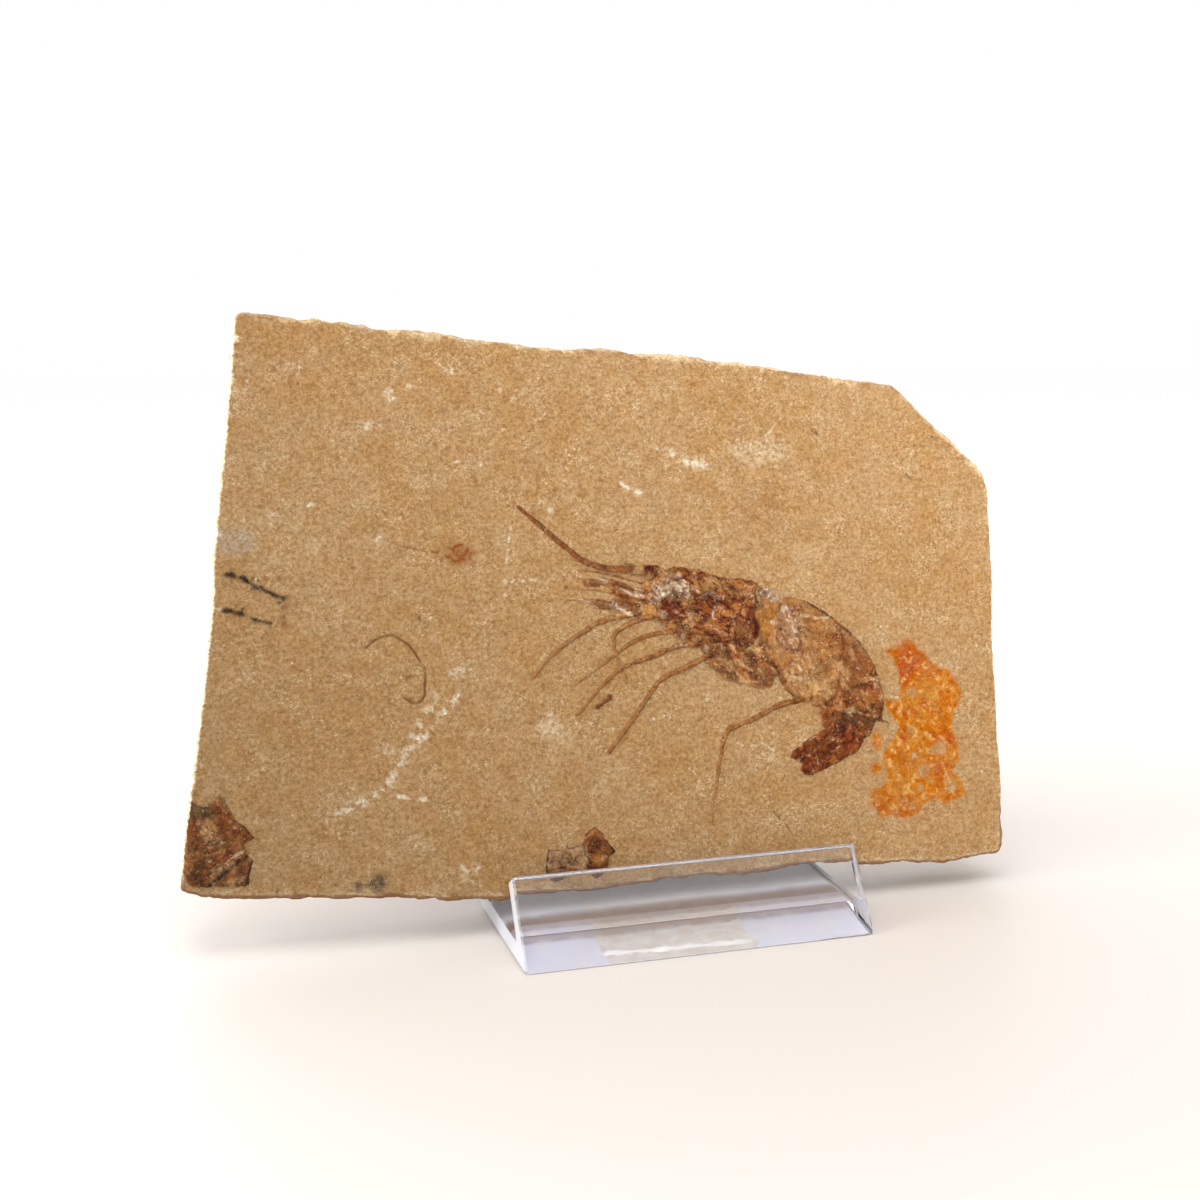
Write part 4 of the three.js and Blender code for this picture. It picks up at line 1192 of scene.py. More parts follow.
# as Coat.lines takes them, likewise
FILM_LINES = [
    # head streaks
    (UMBER, 0.75, 0.3, 0.05, [(16.8, 44.7), (19.7, 45), (23.2, 43.7), (24.4, 43)]),
    (RED_BROWN, 0.85, 0.36, 0.05, [(19.1, 43.9), (20.9, 43), (22.4, 42.3), (23.9, 41.4), (25.8, 41.1)]),
    (UMBER, 0.75, 0.32, 0.05, [(16, 41.7), (19.3, 41.4), (22.3, 40.8)],
     [(17.2, 40.9), (19.2, 40.4), (21.1, 40.1)]),
    (DARK_RED, 0.9, 0.4, -0.1, [(22.2, 40.9), (23.5, 40.6), (23.9, 39.5)]),
    (UMBER, 0.7, 0.28, 0.05, [(22.1, 47.3), (23.5, 47.1), (24.8, 46.9), (25.9, 46.9)],
     [(22.4, 45.7), (24, 45.5), (25.4, 45.1)], [(20.8, 44.2), (22.6, 43.4), (24.8, 42.2)]),
    (UMBER, 0.8, 0.45, -0.05, [(27.3, 45.8), (27.5, 44.7), (26.6, 43.8), (26.8, 42.4)]),
    (WHITE, 0.8, 0.45, 0.1, [(20.4, 41.2), (21.6, 40.6), (22.6, 40)], [(19.2, 42.6), (20.6, 42.2)]),
    # carapace cracks
    (WHITE, 0.85, 0.36, -0.05,
     [(33.1, 42.6), (34.9, 42.1), (36.6, 41.6), (37, 40.4), (36.4, 39.2), (35.9, 38)]),
    (DARK_RED, 0.8, 0.42, 0.0, [(37, 40.4), (38.9, 39.5), (40.1, 38.1)], [(40.4, 38.3), (42, 37.3)],
     [(28.4, 38.6), (30.4, 38.2), (32.2, 38.4)]),
    (RED_BROWN, 0.75, 0.4, 0.05, [(36.2, 37.4), (37.2, 36.2), (38.8, 35.6)],
     [(33.2, 36.8), (34.8, 36.2), (36, 34.8)]),
    (CREAM, 0.8, 0.34, -0.05, [(41.4, 40.9), (43.3, 40.9)], [(43.9, 42.4), (43.8, 40.6)]),
    (DARK_RED, 0.95, 0.5, -0.2, [(43.2, 39), (43.1, 37.7), (42.8, 35.9), (42.3, 34.2)]),
    (UMBER, 0.8, 0.3, -0.1, [(43.6, 42.6), (43.4, 40.9), (43.2, 39)]),
    (DARK_RED, 0.85, 0.4, 0.0, [(37.6, 34.4), (39.9, 33.8), (42.3, 33.9)]),
    (UMBER, 0.8, 0.3, 0.0,
     [(29.4, 46.0), (31.2, 46.2), (34.8, 45.7), (38, 44.5), (41.4, 44.3), (44, 43.3)]),
    # abdomen cracks and edges
    (UMBER, 0.85, 0.26, -0.1, [(47, 39.4), (46.8, 37.4), (46.4, 35.7), (46, 34.2)]),
    (DARK_RED, 0.75, 0.5, 0.1, [(50, 36), (50, 34.2), (49.7, 32.6), (48.4, 32.2)]),
    (NEAR_BLACK, 0.85, 0.4, -0.1, [(50.8, 40.2), (51.9, 39.8), (53.3, 38.8), (54.4, 37.8), (55.9, 37.4)]),
    (UMBER, 0.7, 0.3, 0.0, [(56.4, 36.4), (58.4, 34.5), (60.5, 32), (62.1, 28.9), (62.8, 26.2)]),
    (CREAM, 0.7, 0.4, 0.05, [(50.5, 37.5), (52.9, 37.7), (55.6, 37)]),
    (TAN_PALE, 0.8, 0.55, 0.0, [(57.4, 25.6), (59.8, 27), (61.4, 27.7), (62.4, 27.6)]),
    (TAN_PALE, 0.65, 0.3, 0.05, [(57.6, 22.8), (60.7, 21.7)], [(56, 24.8), (57.4, 23.6)],
     [(58.2, 21), (59.8, 19.2)]),
    (CHALK, 0.75, 0.6, 0.1, [(47.7, 28.9), (49.1, 27.9)], [(48.2, 30.6), (49.4, 29.4)]),
    (UMBER, 0.9, 0.7, -0.2, [(43.8, 31.8), (44.6, 30.4), (46.3, 28.5), (47.4, 25.8), (48.7, 24.4)]),
    (UMBER, 0.7, 0.4, 0.05, [(48.6, 24.4), (50.4, 23.9), (52.4, 23.6)]),
    (DARK_RED, 0.7, 0.3, 0.0, [(46.9, 17.3), (49.6, 18.8), (52.1, 20)]),
    (TAN_FILM, 0.8, 0.35, 0.1, [(47.7, 15.9), (50.8, 17.4), (53, 18.6)]),
    (BROWN, 0.8, 0.3, 0.0, [(49.8, 13.7), (52.6, 14.9), (55.2, 16.3)]),
]
FILM_SPOTS = [
    (WHITE, 0.8, 0.4, (45.5, 36.7), (28.9, 35.5), (33.2, 33.8)),
    (DARK_RED, 0.8, 0.6, (32.3, 44.4), (38.2, 40.1), (27.2, 46.4)),
    (NEAR_BLACK, 0.7, 0.35, (29.9, 36.6), (30.9, 36)),
]
# where the film has crumbled to white and brown grains
CRUMBLED = [
    [(29, 44.8), (30.6, 45.2), (32.4, 43.8), (33.2, 42.6), (32.4, 41.2), (30.6, 41.2), (28.4, 41.4),
     (26.6, 40.8), (26.2, 42.6), (27.8, 43.8)],
    [(27.6, 36.6), (29.2, 36.2), (32, 34.4), (34.8, 33.8), (34.6, 32.4), (31.6, 32.6), (28.6, 34.4),
     (27, 35.6)],
    [(44.2, 42.6), (46.4, 42.6), (48.2, 41.2), (47.6, 40.2), (45.7, 40.4), (44, 41.3)],
    [(47.2, 39.3), (49.2, 39), (50.1, 36.9), (50.2, 35.1), (49.6, 32.6), (47.6, 32.4), (46.6, 34.4),
     (46.9, 36.6)],
    [(20.4, 41.6), (22.8, 40.8), (22.6, 39.6), (20.2, 40.4)],
    [(60.8, 27.6), (62.6, 27.4), (62.8, 24.8), (62, 25)],
]


def limb_shapes(flat):
    """For each limb: the places near it, how far each is off its middle line and along it, the limb's
    half width there, its height and its fading."""
    for start, end, height, fade, line in LIMBS:
        middle = smooth_line(line, 0.3)
        close = near(flat, middle, 1.5)
        away, share = line_distance(flat[close], middle)
        half = (start + (end - start) * share) / 2
        yield close, away, share, half, height, fade


def head_bristles(places):
    return noise(stretched(places, HEAD_LEAN, 8), 0.42, 114)


def gill_threads(places):
    return noise(stretched(places, GILL_LEAN, 4), 0.5, 113)


def film_reach(flat, places):
    """How far each place lies inside the shrimp's outline, with the outline's raggedness."""
    ragged = 0.16 * fractal(places, 0.8, 101) + 0.1 * fractal(places, 0.35, 102, 2)
    loose = shaken(places, 0.22, 1.0, 105)
    reach = np.full(len(flat), -3.0)
    for outline in [CARAPACE, *SEGMENTS, *TAIL_LOBES, LOWER_RAMUS, TAIL_SPIKE, PINCER_FINGER]:
        reach = np.maximum(reach, depth_inside(loose, outline) + ragged)
    feather = 0.5 * noise(stretched(places, math.radians(-55), 5), 0.5, 103)
    reach = np.maximum(reach, depth_inside(flat, GILL_FRINGE) + ragged + 0.5 * feather)
    for outline in HEAD_PLATES:
        reach = np.maximum(reach, depth_inside(flat, outline) + 0.45 * head_bristles(places) + 0.6 * ragged)
    for close, away, _, half, _, _ in limb_shapes(flat):
        half = half * (1 + LIMB_LUMPS * noise(places[close], 1.1, 106))
        reach[close] = np.maximum(reach[close], half - away + 0.6 * ragged[close])
    return reach


def shrimp_relief(places):
    """How far the film stands out of the face."""
    flat = places[:, :2]
    wrinkles = fractal(places, 1.7, 111)
    pits = fractal(places, 0.55, 112, 3)
    relief = np.full(len(flat), FILM_EDGE)

    def raise_part(outline, height, shoulder, rough, lean=(0, 0)):
        nonlocal relief
        depth = depth_inside(flat, outline)
        share = np.clip(depth / shoulder, 0, 1)
        middle = np.mean(outline, axis=0)
        top = height + (flat - middle) @ np.array(lean) + rough * wrinkles + 0.5 * rough * pits
        relief = np.maximum(relief, np.where(depth > 0, FILM_EDGE + share * (2 - share) * top, 0))

    raise_part(CARAPACE, 0.72, 1.5, 0.16, (0.006, 0.012))
    for i, outline in enumerate(SEGMENTS):
        raise_part(outline, 0.62 - 0.1 * (i % 2), 0.8, 0.1, (0.025, -0.01))
    for outline in TAIL_LOBES:
        raise_part(outline, 0.5, 0.7, 0.12)
    raise_part(LOWER_RAMUS, 0.4, 0.5, 0.08)
    raise_part(TAIL_SPIKE, 0.3, 0.4, 0.02)
    raise_part(PINCER_FINGER, 0.28, 0.35, 0.05)
    raise_part(GILL_FRINGE, 0.3, 0.9, 0.1)
    relief += 0.13 * gill_threads(places) * zone(flat, [GILL_FRINGE], -0.5, 0.8)
    for outline in HEAD_PLATES:
        raise_part(outline, 0.26, 0.6, 0.05)
        relief += 0.09 * head_bristles(places) * zone(flat, [outline], 0, 0.6)
    for close, away, share, half, height, _ in limb_shapes(flat):
        round_top = np.sqrt(np.clip(1 - (away / half) ** 2, 0, 1))
        dent = 0.25 * step(0.45, 0.0, away / half)
        top = FILM_EDGE + height * (round_top - dent) * (1 - 0.4 * share)
        relief[close] = np.maximum(relief[close], top)

    # tail rays, cracks, and hollows where the film has flaked off
    rays = noise(stretched(places, math.radians(35), 6), 0.45, 115)
    relief += 0.08 * rays * zone(flat, TAIL_LOBES, 0, 0.5)
    for _, _, width, _, *lines in FILM_LINES:
        for line in lines:
            close = near(flat, line, 1.5)
            away, _ = line_distance(flat[close], smooth_line(line, 0.5))
            relief[close] -= 0.16 * step(0.45 * width + 0.12, 0.02, away) * step(0.2, 0.5, relief[close])
    for colour, _, _, _, *outlines in FILM_COLOURS:
        if colour == CHALK_GREY:
            for outline in outlines:
                hollow = step(-0.3, 0.4, depth_inside(flat, outline) + 0.4 * wrinkles)
                relief -= 0.2 * hollow * (0.6 + 0.4 * pits)
    return np.maximum(relief, FILM_EDGE)


def paint_limbs(coat, mottle, fine):
    """Limbs are darker along both edges and fade towards some tips. The feeler is dark above."""
    flat = coat.places[:, :2]
    for close, away, share, half, _, fade in limb_shapes(flat):
        layer = np.zeros(len(flat))
        layer[close] = step(half + 0.1, half - 0.08, away) * (1 - fade * step(0.35, 1.0, share))
        edge = np.zeros(len(flat))
        edge[close] = step(0.35, 0.95, away / half)
        darker = np.clip(edge * 0.55 + 0.6 * step(0.1, 0.8, mottle + 0.5 * fine), 0, 1)
        coat.lay(layer * (0.85 + 0.15 * fine), LEG_BROWN)
        coat.tint(layer * darker, LEG_EDGE)
        coat.tint(layer * step(-0.3, -0.8, mottle + 0.5 * fine) * 0.15, TAN_PALE)
    line = np.array(FEELER)
    away, share = line_distance(flat, smooth_line(line, 0.3))
    above, _ = line_distance(flat, smooth_line(line + FEELER_SHADOW, 0.3))
    broken = step(0.1, 0.5, fine + 0.6 * mottle + share - 0.5)
    coat.tint(step(1.0, 0.2, away + 0.4 * mottle) * 0.85, RED_BROWN)
    coat.tint(step(0.5, 0.2, above + 0.3 * mottle) * broken * 0.8, NEAR_BLACK)


def streaks(coat, share, pattern, dark, pale):
    """Dark streaks where a pattern is high and pale ones where it is low. Each of the two is a colour, a
    strength and the levels where it starts and is full."""
    for colour, strength, start, full in (dark, pale):
        coat.tint(share * step(start, full, pattern) * strength, colour)


def paint_shrimp(places):
    coat = Coat(places)
    flat = coat.flat
    coat.flat = shaken(places, 0.45, 1.4, 125)
    mottle = fractal(places, 1.1, 121)
    fine = fractal(places, 0.4, 122, 3)

    # gills
    fringe = zone(flat, [GILL_FRINGE], -0.4, 0.5)
    wisps = gill_threads(places) + 0.6 * mottle
    coat.lay(fringe * 0.85, LEG_BROWN)
    streaks(coat, fringe, wisps, (RED_BROWN, 1.0, 0.0, 0.5), (TAN_PALE, 0.9, -0.15, -0.6))
    coat.patches(FILM_COLOURS, 200)

    # bristles on the plates before the head
    for outline in HEAD_PLATES:
        plate = zone(flat, [outline], -0.2, 0.4)
        dark, pale = (LEG_EDGE, 0.85, 0.0, 0.5), (TAN_PALE, 0.6, -0.2, -0.6)
        streaks(coat, plate, head_bristles(places), dark, pale)
    paint_limbs(coat, mottle, fine)
    head = zone(flat, HEAD_PLATES[:2], -1.4, -0.4) * step(26.5, 25, flat[:, 0])
    threads = noise(stretched(places, HEAD_LEAN, 9), 0.36, 131) + 0.25 * mottle
    streaks(coat, head, threads, (RED_BROWN, 0.85, 0.05, 0.4), (DUST, 0.65, -0.2, -0.6))
    coat.lines(FILM_LINES, 300)
    coat.spots(FILM_SPOTS)
    for outline in CRUMBLED:
        loose = step(-0.5, 0.6, depth_inside(coat.flat, outline) + 0.4 * mottle)
        coat.tint(loose * step(0.0, -0.5, fine + 0.4 * mottle) * 0.85, GRAIN_BROWN)
        coat.lay(loose * step(0.1, 0.6, fine + 0.5 * mottle) * 0.85, WHITE)

    # streaks along the abdomen, the carapace and the frayed gills
    streaky = noise(stretched(places, SHELL_LEAN, 4), 0.8, 130)
    streaky += 0.5 * noise(stretched(places, SHELL_LEAN, 5), 0.4, 133) + 0.4 * mottle
    shell = zone(coat.flat, SEGMENTS[1:4], -0.2, 0.5)
    streaks(coat, shell, streaky, (BROWN, 0.7, 0.05, 0.7), (STREAK_PALE, 0.45, -0.2, -0.75))
    torso = zone(coat.flat, [CARAPACE], -0.2, 0.6)
    threads = fractal(stretched(places, math.radians(-25), 2), 0.75, 134, 3)
    streaks(coat, torso, threads, (DARK_RED, 0.7, 0.1, 0.6), (THREAD_PALE, 0.45, -0.3, -0.8))
    barbs = fractal(stretched(places, GILL_LEAN, 2), 0.6, 132, 2)
    fray = fringe * step(33.5, 36, flat[:, 0] + 1.2 * mottle)
    streaks(coat, fray, barbs, (FRAY_DARK, 0.8, 0.05, 0.5), (FRAY_PALE, 0.65, -0.25, -0.65))

    # uneven colour all over
    body = step(0.5, 0.9, coat.cover)
    coat.tint(body * step(0.3, 1.0, mottle + 0.5 * fine) * 0.5, RED_BROWN)
    coat.tint(body * step(-0.4, -1.0, mottle + 0.4 * fine) * 0.4, TAN_PALE)
    front = zone(coat.flat, [CARAPACE], -0.6, 0.6)
    back = zone(coat.flat, (*SEGMENTS[4:], *TAIL_LOBES), -0.6, 0.6)
    coat.shares["busy"] = np.clip(0.5 + 0.55 * np.maximum(front, fringe) + 0.4 * back, 0, 1)
    return coat


def film_faces(inside, node, crossing):
    """The faces of the grid's whole squares and of those that the outline cuts, and the cuts' edges."""
    full = inside[:-1, :-1] & inside[1:, :-1] & inside[1:, 1:] & inside[:-1, 1:]
    some = inside[:-1, :-1] | inside[1:, :-1] | inside[1:, 1:] | inside[:-1, 1:]
    i, j = np.nonzero(full)
    faces = np.column_stack([node[i, j], node[i + 1, j], node[i + 1, j + 1], node[i, j + 1]]).tolist()
    rim = []
    for i, j in zip(*np.nonzero(some & ~full)):
        i, j = int(i), int(j)
        corners = [(i, j), (i + 1, j), (i + 1, j + 1), (i, j + 1)]
        sides = [("x", (i, j)), ("y", (i + 1, j)), ("x", (i, j + 1)), ("y", (i, j))]
        face = []
        for corner, (axis, key) in zip(corners, sides):
            if inside[corner]:
                face.append((int(node[corner]), False))
            if key in crossing[axis]:
                face.append((crossing[axis][key], True))
        faces.append([index for index, _ in face])
        for (a, a_out), (b, b_out) in zip(face, face[1:] + face[:1]):
            if a_out and b_out:
                rim.append((a, b))
    return faces, rim


def film_mesh(low, high, reach_of, relief_of):
    """A closed low relief over every place where reach_of is above 0, on a fine square grid."""
    columns = np.arange(low[0], high[0], FILM_SPACING)
    rows = np.arange(low[1], high[1], FILM_SPACING)
    x, y = np.meshgrid(columns, rows, indexing="ij")
    grid = np.column_stack([x.ravel(), y.ravel()])
    reach = reach_of(grid, np.column_stack([grid, np.zeros(len(grid))])).reshape(x.shape)
    inside = reach > 0
    node = np.full(x.shape, -1)
    node[inside] = np.arange(inside.sum())
    flat = [np.column_stack([x[inside], y[inside]])]
    total = int(inside.sum())

    # where the outline crosses the grid's lines
    crossing = {}
    for axis, (di, dj) in (("x", (1, 0)), ("y", (0, 1))):
        a = reach[: x.shape[0] - di, : x.shape[1] - dj]
        b = reach[di:, dj:]
        i, j = np.nonzero((a > 0) != (b > 0))
        t = np.clip(a[i, j] / (a[i, j] - b[i, j]), 0.08, 0.92)
        flat.append(np.column_stack([x[i, j] + t * FILM_SPACING * di, y[i, j] + t * FILM_SPACING * dj]))
        crossing[axis] = {(int(p), int(q)): total + n for n, (p, q) in enumerate(zip(i, j))}
        total += len(i)
    flat = np.vstack(flat)
    count = len(flat)

    top, rim = film_faces(inside, node, crossing)
    faces = top + [[index + count for index in reversed(face)] for face in top]
    faces += [[b, a, a + count, b + count] for a, b in rim]
    places = np.column_stack([flat, np.zeros(count)])
    margin = step(0.0, FILM_MARGIN, reach_of(flat, places))
    height = FILM_EDGE + (relief_of(places) - FILM_EDGE) * margin
    upper = np.column_stack([flat, height])
    lower = np.column_stack([flat, np.full(count, -FILM_ROOT)])
    return np.vstack([upper, lower]), faces


def shrimp(finish):
    places, faces = film_mesh((5.5, 5.5), (65, 58.5), film_reach, shrimp_relief)
    coat = paint_shrimp(places)
    new_piece("fossil_shrimp", on_slab(places), faces, "shrimp", finish, 70, coat)


# ---------------------------------------------------------------- the two fossil scraps

SCRAP_HEIGHT = 0.36
CORNER_SCRAP = [
    (-41.4, 17), (-39.7, 16.1), (-38.4, 17.2), (-37.5, 18.2), (-36.9, 16.5), (-35.7, 14), (-34.3, 12.9),
    (-33.3, 11.4), (-34.6, 10.6), (-34.2, 9.1), (-33.5, 8.2), (-34.6, 4.9), (-39.9, 5.3), (-42.2, 5.7),
    (-43, 7.6), (-42.2, 12),
]
CORNER_COLOURS = [
    (SCRAP_BROWN, 0.95, 0.25, 0.4, CORNER_SCRAP),
    (OLIVE, 0.85, 0.5, 0.6, [(-41.2, 17), (-38.6, 16.6), (-38.2, 14.6), (-41.4, 14.4)]),
    (RED_BROWN, 0.85, 0.5, 0.6,
     [(-38.2, 16.6), (-36.6, 15), (-35.4, 12.4), (-37.4, 12.8)],
     [(-42, 14.4), (-40, 14), (-40.4, 11.8), (-42.2, 11.4)],
     [(-38.8, 10.4), (-35.6, 10.2), (-35.4, 8.2), (-38.4, 8.2)]),
    (SCRAP_PALE, 0.85, 0.5, 0.6, [(-40.4, 14), (-38.2, 14), (-37.8, 11.2), (-40, 10.8)]),
    (UMBER, 0.8, 0.4, 0.5, [(-42.6, 8.2), (-40.4, 8.2), (-40.2, 6.2), (-42.4, 6.2)]),
    (STONE, 0.8, 0.4, 0.4, [(-39.2, 7.6), (-36.4, 8.6), (-35.8, 7.6), (-38.6, 6.4)],
     [(-38, 5.4), (-35.2, 6.4), (-34.6, 5)]),
]
CORNER_LINES = [
    (NEAR_BLACK, 0.95, 0.55, -0.2, [(-34.5, 9), (-36.4, 7.8), (-38.2, 6.4), (-39.9, 5.3)]),
    (CREAM, 0.7, 0.35, 0.0, [(-35, 9.8), (-37, 8.6), (-39.4, 6.8)]),
    (NEAR_BLACK, 0.85, 0.75, 0.0, [(-33.4, 8.2), (-34, 6.6), (-34.7, 4.9)]),
    (NEAR_BLACK, 0.8, 0.5, 0.05,
     [(-37.5, 18.1), (-36.9, 16.4), (-35.7, 13.9), (-34.3, 12.8), (-33.4, 11.4)]),
    (NEAR_BLACK, 0.7, 0.4, 0.1, [(-41.4, 17), (-39.7, 16), (-38.4, 17.2)]),
    (UMBER, 0.8, 0.35, 0.05, [(-41.6, 12.6), (-39.4, 11), (-36.8, 11.4)],
     [(-39.4, 15.6), (-38, 13.4), (-36.4, 13.2)]),
    (TAN_PALE, 0.7, 0.35, 0.1, [(-41.8, 10.6), (-39.6, 9.6), (-37.4, 10.2)]),
]
LOWER_SCRAP = [
    (7.6, 6.1), (10.2, 5.9), (13.1, 6.5), (13.5, 7.8), (15.1, 8.7), (16.6, 6.7), (17.7, 4.8), (16.7, 4.2),
    (16.4, 2.6), (15.2, 1.3), (14.1, 0.7), (13.4, 1.4), (11.4, 1.9), (9.6, 1.0), (8, 0.8), (7.1, 1.3),
    (7, 3),
]
LOWER_COLOURS = [
    (SCRAP_TAN, 0.85, 0.25, 0.3, LOWER_SCRAP),
    (BROWN, 0.95, 0.2, 0.25,
     [(13, 6.4), (13.5, 7.8), (15.1, 8.7), (16.6, 6.7), (17.7, 4.8), (16.7, 4.2), (16.4, 2.6), (14.1, 0.7),
      (12.8, 2), (13.6, 4.2)]),
    (OCHRE, 0.8, 0.5, 0.4, [(13.6, 4.6), (15.8, 4.4), (16, 2.6), (14, 1.6), (13, 2.4)]),
    (UMBER, 0.85, 0.4, 0.5, [(14, 7.6), (15.4, 7.6), (16.4, 5.6), (14.6, 5.2)]),
    (BROWN, 0.8, 0.3, 0.4, [(7.2, 3.2), (9.6, 2.8), (11.6, 2.8), (10.4, 1.6), (8, 1.1), (7, 1.9)]),
    (DARK_RED, 0.8, 0.3, 0.4, [(7.2, 2.8), (9.4, 2.6), (11, 2.2), (9.2, 1.0), (7.4, 1.0)],
     [(13.4, 3.2), (16.2, 3.2), (15.4, 1.4), (14.1, 0.8), (13.2, 1.5)]),
]
LOWER_LINES = [
    (NEAR_BLACK, 0.9, 0.5, -0.1, [(7.6, 6.1), (7.3, 4.6), (7, 3)],
     [(13.3, 7.6), (15.1, 8.6), (16.6, 6.6), (17.6, 4.9)]),
    (NEAR_BLACK, 0.8, 0.4, 0.0, [(7.7, 6.1), (10.2, 5.9), (12.8, 6.4)],
     [(13, 6.5), (13.2, 4.8), (13.8, 3.6)]),
    (UMBER, 0.8, 0.35, 0.05, [(7.2, 3), (9.4, 3.2), (11.6, 2.7)], [(13.6, 5), (15.2, 4.8), (16.6, 4.2)]),
]


def scrap(name, node, finish, outline, colours, lines, seed):
    """A flat scrap of another fossil on the slab's face."""

    def reach_of(flat, places):
        return depth_inside(flat, outline) + 0.22 * fractal(places, 0.9, seed)

    def relief_of(places):
        flat = places[:, :2]
        share = np.clip(depth_inside(flat, outline) / 0.5, 0, 1)
        rough = 0.16 * fractal(places, 1.6, seed + 1) + 0.07 * fractal(places, 0.5, seed + 2)
        relief = FILM_EDGE + share * (SCRAP_HEIGHT + rough)
        for _, _, width, _, *several in lines:
            for line in several:
                away, _ = line_distance(flat, smooth_line(line, 0.5))
                relief -= 0.14 * step(0.45 * width + 0.12, 0.02, away) * share
        return np.maximum(relief, FILM_EDGE)

    around = np.array(outline)
    places, faces = film_mesh(around.min(0) - 1, around.max(0) + 1, reach_of, relief_of)
    coat = Coat(places)
    coat.patches(colours, seed + 10)
    coat.lines(lines, seed + 30)
    mottle = fractal(places, 1.0, seed + 3)
    body = step(0.4, 0.8, coat.cover)
    coat.tint(body * step(0.3, 0.9, mottle) * 0.6, UMBER)
    coat.tint(body * step(-0.4, -0.9, mottle) * 0.5, TAN_PALE)
    coat.shares["busy"] = np.full(len(places), 0.8)
    new_piece(name, on_slab(places), faces, node, finish, 70, coat)


# ---------------------------------------------------------------- the stand

FRONT_FOLD_RADIUS = 0.3
TOP_FOLD_RADIUS = 1.0
END_BEVEL = 0.28
EDGE_RADIUS = 0.4
INNER_RADIUS = 0.12  # of the two folds' inner corners
FOLD_STEPS = 10


def round_corner(before, corner, after, radius):
    """An arc in place of a corner."""
    to_before = (before - corner).normalized()
    to_after = (after - corner).normalized()
    half = to_before.angle(to_after) / 2
    centre = corner + (to_before + to_after).normalized() * (radius / math.sin(half))
    start = corner + to_before * (radius / math.tan(half)) - centre
    end = corner + to_after * (radius / math.tan(half)) - centre
    turn = math.atan2(start.x * end.y - start.y * end.x, start.dot(end))
    arc = []
    for i in range(FOLD_STEPS + 1):
        angle = turn * i / FOLD_STEPS
        c, s = math.cos(angle), math.sin(angle)
        arc.append(centre + Vector((start.x * c - start.y * s, start.x * s + start.y * c)))
    return arc


def offset_path(path, distance):
    """The path moved sideways to its left, with mitred corners and square ends."""
    sides = []
    for a, b in zip(path, path[1:]):
        along = (b - a).normalized()
        sides.append(Vector((-along.y, along.x)))
    moved = []
    for i, point in enumerate(path):
        first = sides[max(i - 1, 0)]
        second = sides[min(i, len(sides) - 1)]
        mitre = first + second
        moved.append(point + mitre * (distance / (1 + first.dot(second))))
    return moved


def stand_profile():
    """The strip's side view, as (back, up) from the stand's sharp front edge."""
    up = Vector((UP[1], UP[2]))
    into = Vector((-OUT[1], -OUT[2]))
    rear = Vector((FACE_SETBACK, FACE_FOOT_HEIGHT)) + into * (SLAB_THICKNESS + SEAT_GAP + SHEET)
    heel = rear - up * (rear.y / up.y)
    under = [
        Vector((math.sin(LIP_LEAN), math.cos(LIP_LEAN))) * LIP_LENGTH,
        Vector((0, 0)),
        heel,
        heel + up * BACK_REST_LENGTH,
        Vector((LEG_REACH, 0)),
    ]
    over = offset_path(under, SHEET)
    corners = under + over[::-1]
    radii = [
        EDGE_RADIUS, FRONT_FOLD_RADIUS, SHEET, TOP_FOLD_RADIUS, EDGE_RADIUS,
        EDGE_RADIUS, SHEET + TOP_FOLD_RADIUS, INNER_RADIUS, INNER_RADIUS, EDGE_RADIUS,
    ]
    profile = []
    for i, (corner, radius) in enumerate(zip(corners, radii)):
        profile += round_corner(corners[i - 1], corner, corners[(i + 1) % len(corners)], radius)
    return profile


def inset_loop(loop, distance):
    """A closed outline moved inwards by distance."""
    closed = np.array([(p.x, p.y) for p in loop])
    along = np.roll(closed, -1, axis=0) - closed
    along /= np.linalg.norm(along, axis=1)[:, None] + 1e-12
    side = np.column_stack([-along[:, 1], along[:, 0]])
    before = np.roll(side, 1, axis=0)
    mitre = (side + before) / (1 + np.sum(side * before, axis=1))[:, None]
    area = np.sum(closed[:, 0] * np.roll(closed[:, 1], -1) - np.roll(closed[:, 0], -1) * closed[:, 1])
    return closed + mitre * distance * np.sign(area)


def stand():
    profile = stand_profile()
    count = len(profile)
    rings = []
    right = STAND_WIDTH - END_BEVEL
    for across, inset in ((0, END_BEVEL), (END_BEVEL, 0.0), (right, 0.0), (STAND_WIDTH, END_BEVEL)):
        ring = inset_loop(profile, inset)
        rings.append(np.column_stack([
            np.full(count, STAND_LEFT + across), STAND_FRONT + ring[:, 0], np.maximum(ring[:, 1], 0),
        ]))
    faces = []
    for level in range(len(rings) - 1):
        near_end, far_end = level * count, (level + 1) * count
        for i in range(count):
            j = (i + 1) % count
            faces.append((near_end + i, near_end + j, far_end + j, far_end + i))
    flat = rings[0][:, 1:]
    caps = filled(flat, np.zeros((0, 2)))
    last = (len(rings) - 1) * count
    faces += [tuple(reversed(face)) for face in caps]
    faces += [tuple(last + i for i in face) for face in caps]
    points = np.vstack(rings)
    piece = new_piece("clear_stand", points, faces, "stand", acrylic_finish(), 25)
    piece.data.materials.append(sawn_finish())
    for face in piece.data.polygons:
        if abs(face.normal.x) > 0.9:
            face.material_index = 1
